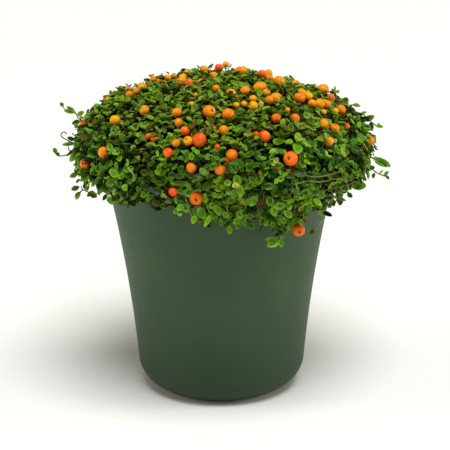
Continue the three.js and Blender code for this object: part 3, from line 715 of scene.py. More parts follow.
def berry_material(fruit):
    """A thin-skinned watery berry: glossy, glowing a little from inside, and mottled."""
    material, tree = new_material("watery_berry_skin")
    mottle = noise_pattern(tree, grain=2.2 * MM)
    wander = ranged(tree, mottle, 0.3, 0.7, -0.17, 0.17)
    colour = colour_ramp(tree, computed(tree, "ADD", tone_of(tree), wander), [
        (0.0, fruit.unripe), (0.3, fruit.amber), (0.65, fruit.orange), (1.0, fruit.coral),
    ])
    end = add_node(tree, "ShaderNodeAttribute", attribute_name="end").outputs["Fac"]
    colour = mixed(tree, ranged(tree, end, 0.72, 1.0, 0.0, 0.4), colour, fruit.amber)
    dulled = ranged(tree, noise_pattern(tree, grain=9 * MM), 0.38, 0.6, 0.0, 0.26)
    colour = mixed(tree, dulled, colour, dimmed(fruit.orange, 0.5))
    stalk_shade = ranged(tree, end, 0.0, 0.45, 0.45, 0.0)
    colour = mixed(tree, stalk_shade, colour, dimmed(fruit.coral, 0.55))
    surface_output(tree, {
        "Base Color": colour,
        "Roughness": 0.3,
        "IOR": 1.42,
        "Specular IOR Level": 0.28,
        "Subsurface Weight": 0.12,
        "Subsurface Radius": (1.0, 0.35, 0.1),
        "Subsurface Scale": 1.2 * MM,
        "Normal": bumped(
            tree, noise_pattern(tree, grain=0.7 * MM), depth=0.05 * MM, strength=0.5,
        ),
    })
    return material


def calyx_material(fruit):
    """The dried calyx left on a berry's end: thin, brown and matt."""
    material, tree = new_material("dried_calyx")
    colour = mixed(tree, noise_pattern(tree, grain=0.8 * MM), fruit.calyx, dimmed(fruit.calyx, 0.4))
    surface_output(tree, {"Base Color": colour, "Roughness": 0.85})
    return material


def floor_material(stage):
    """Smooth matt studio board, with a very faint mottle."""
    material, tree = new_material("pale_studio_board")
    colour = mixed(tree, noise_pattern(tree, grain=60 * MM), stage.floor, dimmed(stage.floor, 0.985))
    surface_output(tree, {"Base Color": colour, "Roughness": 0.7})
    return material


def new_piece(name, mesh, materials, replaced=()):
    """A finished piece that rides on the plant, with the nodes that it stands for."""
    mesh.name = name
    for material in materials:
        mesh.materials.append(material)
    piece = bpy.data.objects.new(name, mesh)
    bpy.context.scene.collection.objects.link(piece)
    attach(piece, ROOT)
    if replaced:
        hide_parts(*replaced)


def mesh_from(shape, smooth=True):
    """A mesh made from a bmesh, which is freed."""
    for face in shape.faces:
        face.smooth = smooth
    mesh = bpy.data.meshes.new("shape")
    shape.to_mesh(mesh)
    shape.free()
    return mesh


def blended(low, high, share):
    return low + (high - low) * share


def clamped(value, low=0, high=1):
    return min(high, max(low, value))


def wandering(chance, spread):
    """A small offset to any side, by chance."""
    return Vector([chance.gauss(0, spread) for _ in range(3)])


def neighbours(cells, key):
    """What lies in a cell and in the cells around it."""
    return [
        other
        for dx in (-1, 0, 1) for dy in (-1, 0, 1) for dz in (-1, 0, 1)
        for other in cells.get((key[0] + dx, key[1] + dy, key[2] + dz), ())
    ]


def wall_radius(pot, height):
    """The pot's outer radius at a height: a gentle flare that bows outward."""
    bow = (pot.rim_radius - POT_WALL_RADIUS - POT_FLARE * pot.height) / pot.height ** 2
    return POT_WALL_RADIUS + POT_FLARE * height + bow * height ** 2


def pot_outline(pot, inset, height, arc_steps=12, wall_steps=24):
    """The pot's outer profile drawn in by an inset, from the axis up to a height."""
    corner = wall_radius(pot, POT_BOTTOM_HEIGHT) - POT_FOOT_RADIUS
    points = [Vector((0, 0, inset))]
    for step in range(arc_steps + 1):
        turn = step / arc_steps * math.pi / 2
        points.append(Vector((
            POT_FOOT_RADIUS + (corner - inset) * math.sin(turn), 0,
            POT_BOTTOM_HEIGHT - (POT_BOTTOM_HEIGHT - inset) * math.cos(turn),
        )))
    for step in range(1, wall_steps + 1):
        level = blended(POT_BOTTOM_HEIGHT, height, step / wall_steps)
        points.append(Vector((wall_radius(pot, level) - inset, 0, level)))
    return points


def spun(outline, segments):
    """A closed body of revolution about the vertical axis from an outline that starts and ends
    on the axis."""
    shape = bmesh.new()
    corners = [shape.verts.new(point) for point in outline]
    edges = [shape.edges.new(pair) for pair in zip(corners, corners[1:])]
    bmesh.ops.spin(
        shape, geom=corners + edges, cent=(0, 0, 0), axis=(0, 0, 1), angle=2 * math.pi,
        steps=segments, use_merge=True,
    )
    bmesh.ops.remove_doubles(shape, verts=shape.verts, dist=1e-6)
    bmesh.ops.recalc_face_normals(shape, faces=shape.faces)
    return shape


def make_pot(pot):
    """The pot with its round lip, smooth inside and out."""
    lip = POT_WALL / 2
    outside = pot_outline(pot, 0, pot.height - lip)
    inside = pot_outline(pot, POT_WALL, pot.height - lip)
    middle = (outside[-1] + inside[-1]) / 2
    rim = [
        middle + Vector((math.cos(turn), 0, math.sin(turn))) * lip
        for turn in (math.radians(angle) for angle in range(LIP_STEP, 180, LIP_STEP))
    ]
    shape = spun(outside + rim + inside[::-1], POT_SEGMENTS)
    new_piece("moulded_pot", mesh_from(shape), [moulded_pot_material(pot)], ["pot"])


def make_soil(pot):
    """The soil that fills the pot, with a crumbly top."""
    outline = pot_outline(pot, POT_WALL + SOIL_CLEARANCE, SOIL_TOP, arc_steps=8, wall_steps=12)
    edge = outline[-1].x
    for ring in reversed(range(SOIL_RINGS)):
        outline.append(Vector((edge * (ring / SOIL_RINGS), 0, SOIL_TOP)))
    shape = spun(outline, SOIL_SEGMENTS)
    for corner in shape.verts:
        if corner.co.z > SOIL_TOP - 1e-5:
            corner.co.z += noise.noise(corner.co / CRUMB_SIZE) * CRUMB_HEIGHT - CRUMB_SINK
    new_piece("crumbly_soil", mesh_from(shape), [peat_material(pot)], ["soil"])


def direction_of(azimuth, elevation):
    return Vector((
        math.cos(elevation) * math.cos(azimuth),
        math.cos(elevation) * math.sin(azimuth),
        math.sin(elevation),
    ))


def direction_at(azimuth, elevation):
    """A direction given in degrees."""
    return direction_of(math.radians(azimuth), math.radians(elevation))


def reach_of(mat, direction):
    """Distance from the heart to the mat's outer surface, before its lumps."""
    tall = mat.rise if direction.z > 0 else mat.droop
    across = math.hypot(direction.x / mat.radius_across, direction.y / mat.radius_deep)
    up = abs(direction.z) / tall
    return (across ** MAT_SQUARENESS + up ** MAT_SQUARENESS) ** (-1 / MAT_SQUARENESS)


def lump(mat, direction):
    """How far the mat's surface swells there."""
    swell = mat.lumps * LUMP_GAIN * noise.noise(direction * LUMP_PITCH + LUMP_PLACE)
    for azimuth, elevation, depth, width in HOLLOWS:
        from_middle = direction.angle(direction_at(azimuth, elevation))
        swell -= depth * MM * math.exp(-(from_middle / math.radians(width)) ** 2)
    return swell


def under_surface(mat, direction, depth):
    return HEART + direction * (reach_of(mat, direction) + lump(mat, direction) - depth)


def outward_of(mat, direction):
    """The outward normal of the mat's surface."""
    point = direction * reach_of(mat, direction)
    tall = mat.rise if point.z > 0 else mat.droop
    across = math.hypot(point.x / mat.radius_across, point.y / mat.radius_deep)
    slope = across ** (MAT_SQUARENESS - 2)
    steep = math.copysign((abs(point.z) / tall) ** (MAT_SQUARENESS - 1), point.z) / tall
    return Vector((
        slope * point.x / mat.radius_across ** 2, slope * point.y / mat.radius_deep ** 2, steep,
    )).normalized()


def skirt_elevation(azimuth):
    """How low the skirt's ragged edge hangs at an azimuth."""
    turned = (math.degrees(azimuth) + 180) % 360 - 180
    for (start, low), (end, high) in zip(SKIRT_DROOP, SKIRT_DROOP[1:]):
        if start <= turned <= end:
            droop = blended(low, high, (turned - start) / (end - start))
    rag = noise.noise(Vector((turned / SKIRT_RAG_WIDTH, 4.7, 0)))
    return -math.radians(droop + SKIRT_RAGGED * rag)


def make_tangle(pot, mat):
    """The dark mass of stems inside the mat, with a plug down to the soil."""
    rings, sides, dome_rings = 44, 112, 34
    bevel = 1 * MM
    plug = wall_radius(pot, SOIL_TOP) - POT_WALL - bevel
    foot = SOIL_TOP + TANGLE_GAP
    underside = [(plug + bevel, TANGLE_LOW), (plug, TANGLE_LOW - bevel), (plug, foot), (0, foot)]
    shape = bmesh.new()
    bmesh.ops.create_uvsphere(shape, u_segments=sides, v_segments=rings, radius=1)
    for corner in shape.verts:
        azimuth = math.atan2(corner.co.y, corner.co.x)
        ring = round(math.acos(clamped(corner.co.z, -1)) / math.pi * rings)
        if ring <= dome_rings:
            share = 1 - ring / dome_rings
            elevation = blended(TANGLE_EDGE, 90, share ** 1.15)
            direction = direction_of(azimuth, math.radians(elevation))
            rough = noise.fractal(direction * 22, 0.8, 2.0, 4) * TANGLE_ROUGHNESS
            surface = under_surface(mat, direction, TANGLE_DEPTH)
            corner.co = surface + direction * rough * min(1, share * 6)
            continue
        place = (ring - dome_rings) / (rings - dome_rings) * len(underside) - 1
        step = clamped(math.floor(place), 0, len(underside) - 2)
        share = max(0, place - step)
        radius, height = (
            blended(a, b, share) for a, b in zip(underside[step], underside[step + 1])
        )
        corner.co = (radius * math.cos(azimuth), radius * math.sin(azimuth), height)
    new_piece("mat_tangle", mesh_from(shape), [tangle_material(mat)], ["leaf_mat"])


# Habits of the leaves, from flat and round to narrow and folded: width, cup, fold and droop as
# shares of the length
LEAF_HABITS = [
    (0.90, 0.10, 0.06, 0.05),
    (0.84, 0.22, 0.12, 0.02),
    (0.76, 0.08, 0.42, 0.10),
    (0.82, 0.02, 0.14, 0.24),
    (0.66, 0.12, 0.22, 0.10),
]
# Those that a leaf drawn from the photograph may have: it lies nearly flat
OPEN_HABITS = (0, 1, 3)


def leaf_template(width, cup, fold, droop):
    """A leaf 1 long with its foot at the origin, pointing along +X and facing +Z: a thin closed
    blade of 40 triangles. Width, cup, fold and droop are shares of its length."""
    notch, point, taper, waist, thickness = 0.12, 0.05, 0.12, 0.72, 0.05
    shape = bmesh.new()
    bmesh.ops.create_uvsphere(shape, u_segments=10, v_segments=4, radius=0.5)
    lower = [corner for corner in shape.verts if corner.co.z < -0.01]
    bmesh.ops.pointmerge(shape, verts=lower, merge_co=(0, 0, -0.5))
    unwrapped = shape.loops.layers.uv.new("UVMap")
    for face in shape.faces:
        is_back = any(corner.co.z < -0.4 for corner in face.verts)
        for loop in face.loops:
            loop[unwrapped].uv = (loop.vert.co.x + (2.5 if is_back else 0.5), loop.vert.co.y + 0.5)
    for edge in shape.edges:
        edge.smooth = not all(abs(corner.co.z) < 0.01 for corner in edge.verts)
    for corner in shape.verts:
        x, y = corner.co.x * 2, corner.co.y * 2
        out = math.hypot(x, y)
        toward_tip = x / out if out > 0.01 else 0
        along = 0.56 + 0.44 * x
        if out > 0.9 and toward_tip < -0.95:
            along -= notch
        elif out > 0.9 and toward_tip > 0.95:
            along += point
        across = y * width / 2 * (1 - taper * x)
        if toward_tip < -0.7:
            across *= waist
        height = cup * out ** 2 + fold * abs(across) - droop * along ** 2
        if corner.co.z < -0.4:
            height -= thickness
        corner.co = (along, across, height)
    bmesh.ops.triangulate(shape, faces=shape.faces)
    shape.verts.layers.float.new("tone")
    return mesh_from(shape)


def berry_template(has_calyx):
    """A berry 1 across with its end towards +Z: a dried calyx in a dimple, or only a small scar."""
    dimple, calyx_radius = (0.08, 0.12) if has_calyx else (0.035, 0.035)
    squash, calyx_flatness, long_lobe, short_lobe = 0.96, 0.16, 1.15, 0.5
    shape = bmesh.new()
    bmesh.ops.create_uvsphere(shape, u_segments=16, v_segments=10, radius=0.5)
    for corner in shape.verts:
        near_end = max(0, (corner.co.z - 0.36) / 0.14)
        corner.co.z = corner.co.z * squash - dimple * near_end ** 2
    body_faces = set(shape.faces)
    floor = 0.5 * squash - dimple
    calyx = bmesh.ops.create_uvsphere(shape, u_segments=10, v_segments=4, radius=calyx_radius)
    for corner in calyx["verts"]:
        azimuth = math.atan2(corner.co.y, corner.co.x)
        out = math.hypot(corner.co.x, corner.co.y)
        lobe = long_lobe if round(azimuth / (math.pi / 5)) % 2 == 0 else short_lobe
        corner.co.x *= lobe
        corner.co.y *= lobe
        corner.co.z = corner.co.z * calyx_flatness + floor - 0.005 + 0.55 * (out * lobe) ** 1.5
    for face in shape.faces:
        face.material_index = 0 if face in body_faces else 1
    shape.verts.layers.float.new("tone")
    end = shape.verts.layers.float.new("end")
    for corner in shape.verts:
        corner[end] = corner.co.z + 0.5
    return mesh_from(shape)


def add_copy(shape, template, place, tone):
    """Adds a copy of a template mesh to a bmesh, with its place and its tone."""
    copy = template.copy()
    copy.transform(place)
    copy.attributes["tone"].data.foreach_set("value", [tone] * len(copy.vertices))
    shape.from_mesh(copy)
    bpy.data.meshes.remove(copy)


def frame_matrix(origin, along, facing, scale):
    """The place of a template: its +X along one way and its +Z facing as near as it can another."""
    x = along.normalized()
    y = facing.cross(x).normalized()
    z = x.cross(y)
    turned = Matrix((x, y, z)).transposed().to_4x4()
    return Matrix.Translation(origin) @ turned @ Matrix.Scale(scale, 4)


class Berries:
    """Places of all the berries, and the space above each that leaves keep out of."""

    def __init__(self, mat, fruit, chance):
        self.mat = mat
        self.fruit = fruit
        self.chance = chance
        self.by_stem = {name: [] for name in FRUITING_STEMS}
        for name, rows in FRUITING_STEMS.items():
            for place, (azimuth, elevation, size, ripeness) in enumerate(rows):
                lift = -COVERED_SINK if place in COVERED_BERRIES.get(name, ()) else 0
                new = self.berry(direction_at(azimuth, elevation), size, ripeness, lift)
                self.by_stem[name].append(new)
        self.seen = [
            self.berry(self.seen_direction(x, y, size * MM, lift * MM), size, ripeness, lift * MM)
            for rows, lift in SEEN_BERRIES for x, y, size, ripeness in rows
        ]
        self.hidden = self.scatter_behind()
        tip = route_points(HANGING_ROUTE)[-1]
        tip.z -= (HANGING_BERRY / 2 - HANGING_OVERLAP) * MM
        facing = HANGING_FACING.normalized()
        self.hanging = [(tip, facing, HANGING_BERRY * MM, HANGING_RIPENESS)]
        self.all = self.seen + self.hidden + self.hanging
        self.covered = set(range(len(self.seen) - len(SUNKEN_BERRIES), len(self.seen)))
        for name, rows in self.by_stem.items():
            self.covered.update(len(self.all) + place for place in COVERED_BERRIES.get(name, ()))
            self.all += rows
        # Leaves in front of these would hide them from the photograph's camera
        self.in_view = range(len(TOPMOST_BERRIES) + len(BACK_EDGE_BERRIES) + len(CROWN_BERRIES))
        self.viewer = camera_axes()[0]
        self.tree = kdtree.KDTree(len(self.all))
        for number, (centre, *_) in enumerate(self.all):
            self.tree.insert(centre, number)
        self.tree.balance()

    def berry(self, direction, diameter, ripeness, lift=0):
        """A berry on the mat: its centre, the way its end faces, its diameter and its ripeness."""
        facing = (outward_of(self.mat, direction) + wandering(self.chance, 0.6)).normalized()
        return self.centre(direction, diameter * MM, lift), facing, diameter * MM, ripeness

    def centre(self, direction, size, lift):
        """The place of a berry, half sunk among the leaves unless it is lifted."""
        depth = BERRY_DEPTH - size / 2 - self.fruit.lift - lift
        depth -= BERRY_REACH * math.hypot(direction.x, direction.y) * abs(direction.x)
        return under_surface(self.mat, direction, depth)

    def seen_direction(self, x, y, size, lift):
        """The direction from the heart to a berry that covers a pixel, as far out as it stands."""
        goal = Vector((x, y))
        aim = goal.copy()
        for _ in range(2):
            aim += goal - pixel_of(self.centre(self.pixel_direction(*aim), size, lift))
        return self.pixel_direction(*aim)

    def pixel_direction(self, x, y):
        """The direction from the heart to the place on the mat that a pixel shows, or to the
        mat's edge nearest that pixel's ray."""
        origin, ray = pixel_ray(x, y)
        start, stride, steps = CAMERA_DISTANCE - 130 * MM, 0.45 * MM, 600
        nearest, least = None, math.inf
        for step in range(steps):
            from_heart = origin + ray * (start + step * stride) - HEART
            direction = from_heart.normalized()
            surface = under_surface(self.mat, direction, 1 * MM)
            beyond = from_heart.length - (surface - HEART).length
            if beyond < least:
                nearest, least = direction, beyond
            if beyond < 0:
                break
        return nearest

    def scatter_behind(self):
        """Berries on the far side, which the photograph doesn't show, scattered by chance."""
        found = []
        for _ in range(BERRY_TRIES):
            azimuth = self.chance.uniform(*map(math.radians, BEHIND_AZIMUTHS))
            elevation = math.asin(self.chance.uniform(-0.08, 0.75))
            direction = direction_of(azimuth, elevation)
            if direction.y < 0.28 or elevation > math.radians(BEHIND_HIGHEST):
                continue
            ripeness = clamped(0.75 - elevation * 0.6 + self.chance.gauss(0, 0.15), 0.1)
            size = self.chance.uniform(*BEHIND_SIZES)
            new = self.berry(direction, size, ripeness)
            placed = found + self.seen + [one for rows in self.by_stem.values() for one in rows]
            spacing = self.fruit.hidden_spacing * self.chance.uniform(0.55, 1.3)
            if all((new[0] - other[0]).length > spacing for other in placed):
                found.append(new)
        return found

    def blocks(self, point, margin):
        """Whether a leaf's middle there would cover a berry or cut into it."""
        search_radius, open_height, hanging_drop, overlap = 12 * MM, 9 * MM, 15 * MM, 0.24
        for centre, number, _ in self.tree.find_range(point, search_radius):
            _, _, size, _ = self.all[number]
            clearance = -overlap * size if number in self.covered else margin
            outward = (centre - HEART).normalized()
            if centre.z < HEART.z - hanging_drop:
                outward = Vector((outward.x, outward.y, 0)).normalized()
            ways = [outward]
            if number in self.in_view:
                ways.append((self.viewer - centre).normalized())
            for way in ways:
                along = clamped((point - centre).dot(way), 0, open_height)
                if (point - centre - way * along).length < size / 2 + clearance:
                    return True
        return False


def camera_axes():
    """The camera's place and its right, up and forward directions."""
    right = Vector((1, 0, 0))
    up = Vector((0, math.sin(CAMERA_PITCH), math.cos(CAMERA_PITCH)))
    forward = Vector((0, math.cos(CAMERA_PITCH), -math.sin(CAMERA_PITCH)))
    place = CAMERA_TARGET - forward * CAMERA_DISTANCE
    turn = Matrix.Rotation(CAMERA_ROLL, 3, forward)
    return place, turn @ right, turn @ up, forward


def pixel_ray(x, y):
    """The camera's ray through a pixel of the photograph."""
    place, right, up, forward = camera_axes()
    focal = CAMERA_LENS / SENSOR_WIDTH * IMAGE_SIZE
    half = IMAGE_SIZE / 2
    ray = forward + right * (x - half) / focal + up * (half - y) / focal
    return place, ray.normalized()


def pixel_of(point):
    """The pixel of the photograph that shows a point."""
    place, right, up, forward = camera_axes()
    offset = point - place
    scale = CAMERA_LENS / SENSOR_WIDTH * IMAGE_SIZE / offset.dot(forward)
    half = IMAGE_SIZE / 2
    return Vector((half + offset.dot(right) * scale, half - offset.dot(up) * scale))


def plane_point(x, y, depth):
    """Where a pixel's ray meets the upright plane so far behind the pot's axis."""
    origin, ray = pixel_ray(x, y)
    return origin + ray * ((depth - origin.y) / ray.y)


def drum_point(x, y, radius):
    """Where a pixel's ray meets the front of an upright drum about the pot's axis."""
    origin, ray = pixel_ray(x, y)
    start, level = origin.to_2d(), ray.to_2d()
    square, half = level.length_squared, start.dot(level)
    root = max(0, half ** 2 - square * (start.length_squared - radius ** 2))
    return origin + ray * ((-half - math.sqrt(root)) / square)


def side_place(pot, x, y, depth):
    """A pixel of a side sprig, in the sprig's plane but never inside the pot's wall."""
    point = plane_point(x, y, depth)
    clear = wall_radius(pot, min(point.z, pot.height)) + 3 * MM
    if point.z < pot.height and math.hypot(point.x, point.y) < clear:
        point = drum_point(x, y, clear)
    return point


def front_place(x, y, radius):
    """A pixel of a front sprig: on the skirt's face above, and hanging at a radius below it."""
    point = drum_point(x, y, radius)
    for _ in range(3):
        share = (point.z - SPRIGS_HANG_BELOW) / (HEART.z - SPRIGS_HANG_BELOW) * 1.8
        point = drum_point(x, y, blended(radius, SKIRT_FACE_RADIUS, clamped(share)))
    return point


def route_points(route):
    """The points of a route given as azimuth, distance from the axis and height."""
    points = []
    for azimuth, radius, height in route:
        turn = math.radians(azimuth)
        points.append(Vector((radius * math.cos(turn), radius * math.sin(turn), height)) * MM)
    return points


class Foliage:
    """Collects the leaves and stems of the shoots. Leaves keep clear of berries and the pot, and
    no two lie in the same place."""

    def __init__(self, pot, mat, berries, chance):
        self.pot = pot
        self.mat = mat
        self.berries = berries
        self.chance = chance
        self.leaves = []
        self.stems = []
        self.taken = {}

    def is_crowded(self, middle, facing):
        """Whether a leaf that faces much the same way has its middle too near."""
        key = tuple(round(c / LEAF_SPACING) for c in middle)
        for place, way in neighbours(self.taken, key):
            if (place - middle).length < LEAF_SPACING and way.dot(facing) > 0.75:
                return True
        self.taken.setdefault(key, []).append((middle, facing))
        return False

    def add_leaf(self, foot, along, facing, length, tone):
        """A leaf from its foot along a direction, unless its place is taken."""
        length = min(length, 1.2 * self.mat.leaf_length)
        along = along.normalized()
        facing = (facing - along * facing.dot(along)).normalized()
        middle = foot + along * length * 0.6
        tip = foot + along * length
        for point in (middle, tip):
            wall = wall_radius(self.pot, min(point.z, self.pot.height))
            outside = math.hypot(point.x, point.y) - wall
            if point.z < self.pot.height + 0.5 * MM and outside < LEAF_CLEARANCE:
                return
        if self.berries.blocks(middle, LEAF_MARGIN * length) or self.is_crowded(middle, facing):
            return
        habit = self.chance.randrange(len(LEAF_HABITS))
        if self.chance.random() < (DRY_CROWN_SHARE if foot.z > CROWN_HEIGHT else DRY_SHARE):
            tone = 0.0
        elif self.chance.random() < PALE_SHARE:
            tone = 1.0
        else:
            tone = clamped(tone, 0.07, 0.9)
        self.leaves.append((habit, frame_matrix(foot, along, facing, length), tone))

    def add_pair(self, node, axis, facing, length, tone, spread):
        """Two opposite leaves at a node of a stem."""
        across = axis.cross(facing).normalized()
        for side in (1, -1):
            along = across * side + axis * spread + facing * self.chance.gauss(0.1, 0.2)
            tilted = facing + wandering(self.chance, 0.3)
            size = length * self.chance.uniform(0.85, 1.15)
            self.add_leaf(node, along, tilted, size, tone + self.chance.gauss(0, 0.05))

    def tone(self, depth):
        """The tone of a leaf by its depth, with painted shade: deeper leaves are darker."""
        return self.chance.gauss(LEAF_TONE, TONE_SPREAD) - SHADE_BY_DEPTH * max(0, depth / MM - 1)

    def rising_tip(self, direction):
        """A short shoot that rises from the tangle and spreads its leaves at the surface."""
        mat, chance = self.mat, self.chance
        outward = outward_of(mat, direction)
        lean = (outward * 0.8 + Vector((0, 0, 0.35)) + wandering(chance, 0.3)).normalized()
        proud = chance.uniform(*TIP_PROUD) if chance.random() < mat.straggle else 0
        top = under_surface(mat, direction, (chance.uniform(*TIP_DEPTHS) - proud) * MM)
        foot = top - lean * TIP_LENGTH
        level = Vector((0, 0, clamped(0.2 + 1.4 * direction.z, 0, 1.2)))
        spin = chance.uniform(0, math.pi)
        side = lean.orthogonal().normalized()
        size = mat.leaf_length * chance.uniform(0.66, 1.2) * (1.2 if chance.random() < 0.05 else 1)
        young = chance.gauss(0.03, 0.1) + PATCH_TONE * noise.noise(top / PATCH_SIZE)
        for share, scale, spread, added in TIP_PAIRS:
            node = foot + lean * TIP_LENGTH * share
            facing = side.copy()
            facing.rotate(Matrix.Rotation(spin, 3, lean))
            across = lean.cross(facing)
            # Lower pairs lie deeper and get more painted shade.
            tone = self.tone((1 - share) * TIP_LENGTH) + added + young
            for way in (1, -1):
                along = across * way + lean * (spread + chance.gauss(0, 0.15))
                length = size * scale * chance.uniform(0.85, 1.12)
                self.add_leaf(node, along, lean + level, length, tone)
            spin += math.pi / 2 + chance.gauss(0, 0.3)
        self.stems.append(([foot, foot.lerp(top, 0.6), top], chance.uniform(0, 0.75)))

    def creeping_shoot(self, direction, heading, steps, depths, stem_tone):
        """A shoot that creeps over the mat, with a pair of leaves at every node."""
        mat, chance = self.mat, self.chance
        points = []
        for step in range(steps + 1):
            share = step / steps
            wave = math.sin(step * 1.9 + depths[0] * 900)
            depth = blended(*depths, share) + RUNNER_WAVE * wave
            outward = outward_of(mat, direction)
            node = under_surface(mat, direction, depth)
            points.append(node)
            heading = (heading - outward * heading.dot(outward)).normalized()
            heading.rotate(Matrix.Rotation(chance.gauss(0, 0.22), 3, outward))
            facing = (outward * 0.75 + Vector((0, 0, 0.45))).normalized()
            if step > 0:
                turned = facing.copy()
                twist = chance.choice((-0.5, 0.5)) + chance.gauss(0, 0.2)
                turned.rotate(Matrix.Rotation(twist, 3, heading))
                size = mat.leaf_length * blended(1.0, 0.62, share) * chance.uniform(0.85, 1.1)
                tone = self.tone(depth) + 0.2 * max(0, share - 0.6)
                self.add_pair(node, heading, turned, size, tone, 0.25)
            if step == steps:
                self.add_leaf(node, heading, facing, mat.leaf_length * 0.55, 0.85)
            moved = node + heading * chance.uniform(*RUNNER_STRIDES) * MM - HEART
            azimuth = math.atan2(moved.y, moved.x)
            if moved.normalized().z < math.sin(skirt_elevation(azimuth)):
                break
            direction = moved.normalized()
        if len(points) > 2:
            self.stems.append((points, stem_tone))

    def hanging_shoot(self, azimuth, depth):
        """A shoot of the skirt, from the tangle's edge down over it."""
        mat, chance = self.mat, self.chance
        elevation = math.radians(chance.uniform(-4, 7))
        lowest = skirt_elevation(azimuth) + math.radians(chance.gauss(0, 1.8))
        points = [under_surface(mat, direction_of(azimuth, elevation), HANGING_FOOT_DEPTH)]
        drift = chance.gauss(0, 0.25)
        vigour = chance.gauss(0, 0.13)
        while elevation > lowest:
            step = chance.uniform(*HANGING_STRIDES) * MM
            direction = direction_of(azimuth, elevation)
            outward = outward_of(mat, direction)
            level = Vector((outward.x, outward.y, max(0, outward.z))).normalized()
            node = under_surface(mat, direction, depth + chance.gauss(0, 0.5) * MM)
            points.append(node)
            axis = (points[-1] - points[-2]).normalized()
            facing = (level + Vector((0, 0, 0.5))).normalized()
            share = clamped((elevation + 0.05) / (lowest + 0.05))
            size = mat.leaf_length * blended(0.9, 0.72, share) * chance.uniform(0.72, 1.1)
            # Painted light and shade: shallow leaves towards the shoot's lower end are lighter, and
            # every leaf darker the deeper it lies.
            painted_light_and_shade = 0.2 * share * max(0, 1 - depth / (6 * MM)) - 0.05 - 0.045 * depth / MM
            self.add_pair(node, axis, facing, size, self.tone(depth) + painted_light_and_shade + vigour, 0.35)
            reach = (node - HEART).length
            elevation -= step / reach
            azimuth += drift * step / reach
        if len(points) > 2:
            end = points[-1]
            self.add_leaf(end, Vector((0, 0, -1)) + level * 0.4, level, mat.leaf_length * 0.6, 0.75)
            self.stems.append((points, chance.uniform(0.1, 0.9)))

    def back_stem(self, route):
        """A leafy stem that leaves the mat behind, along the route that the frame gives it."""
        points = route_points(route)
        inward = (points[0] - HEART).normalized()
        points[0] = under_surface(self.mat, inward, 8.4 * MM)
        smooth = smooth_route(points, 12)
        self.stems.append((smooth, BACK_STEM_TONE))
        count = len(smooth)
        first = int(BARE_SHARE * count)
        for number in range(first, count, 2):
            axis = (smooth[number] - smooth[number - 1]).normalized()
            out = Vector((smooth[number].x, smooth[number].y, 0)).normalized()
            facing = (out + Vector((0, 0, 0.9))).normalized()
            share = (number - first) / max(1, count - first)
            facing.rotate(Matrix.Rotation(self.chance.gauss(0, 0.5), 3, axis))
            size = self.mat.leaf_length * blended(*BACK_LEAF_SIZES, share)
            self.add_pair(smooth[number], axis, facing, size, self.tone(0) + 0.25 * share, 0.5)
        self.add_leaf(smooth[-1], smooth[-1] - smooth[-2], facing, self.mat.leaf_length * 0.75, 0.7)

    def sprig(self, stems, leaves, place_of, behind=0.0):
        """A sprig as the photograph shows it: stems through its pixels, so far behind the leaves,
        and leaves from pixel to pixel that look mostly at the viewer."""
        chance = self.chance
        drawn, carriers = set(), []
        for tone, pixels in stems:
            points = [place_of(x, y) + pixel_ray(x, y)[1] * behind for x, y in pixels]
            if pixels[0] not in drawn:
                points.insert(0, under_surface(self.mat, (points[0] - HEART).normalized(), 8 * MM))
            drawn.update(pixels)
            route = smooth_route(points, 4 * len(points))
            carriers += route
            self.stems.append((route, tone))
        for x, y, tip_x, tip_y, width, tone in leaves:
            foot = place_of(x, y) + pixel_ray(x, y)[1] * behind
            carrier = min(carriers, key=lambda point: (point - foot).length)
            self.stems.append(([carrier, carrier.lerp(foot, 0.5), foot], 0.5))
            _, ray = pixel_ray(tip_x, tip_y)
            along = plane_point(tip_x, tip_y, foot.y - behind) - foot
            along += ray * along.length * chance.gauss(0, 0.3)
            facing = Vector((0, 0, 0.55)) - ray + wandering(chance, 0.3)
            facing -= along * facing.dot(along) / along.length_squared
            habit = chance.choice(OPEN_HABITS)
            narrowing = Matrix.Scale(width / LEAF_HABITS[habit][0], 4, (0, 1, 0))
            place = frame_matrix(foot, along, facing, along.length)
            self.leaves.append((habit, place @ narrowing, tone))


def smooth_route(points, steps):
    """Evenly stepped points on a smooth curve through the given ones."""
    padded = [points[0] * 2 - points[1], *points, points[-1] * 2 - points[-2]]
    pieces = len(points) - 1
    found = []
    for step in range(steps + 1):
        place = step / steps * pieces
        piece = min(pieces - 1, int(place))
        t = place - piece
        a, b, c, d = padded[piece:piece + 4]
        square, cube = a * 2 - b * 5 + c * 4 - d, b * 3 - a - c * 3 + d
        found.append(0.5 * (b * 2 + (c - a) * t + square * t ** 2 + cube * t ** 3))
    return found


def scatter_directions(mat, spacing, tries, chance):
    """Directions spread evenly over the mat, no two places on it nearer than the spacing."""
    found, cells = [], {}
    for _ in range(tries):
        azimuth = chance.uniform(-math.pi, math.pi)
        elevation = math.asin(chance.uniform(-0.1, 1))
        if chance.random() > 0.35 + 0.65 * math.cos(elevation):
            continue
        direction = direction_of(azimuth, elevation)
        point = under_surface(mat, direction, 0)
        key = tuple(math.floor(c / spacing) for c in point)
        if all((other - point).length > spacing for other in neighbours(cells, key)):
            cells.setdefault(key, []).append(point)
            found.append(direction)
    return found


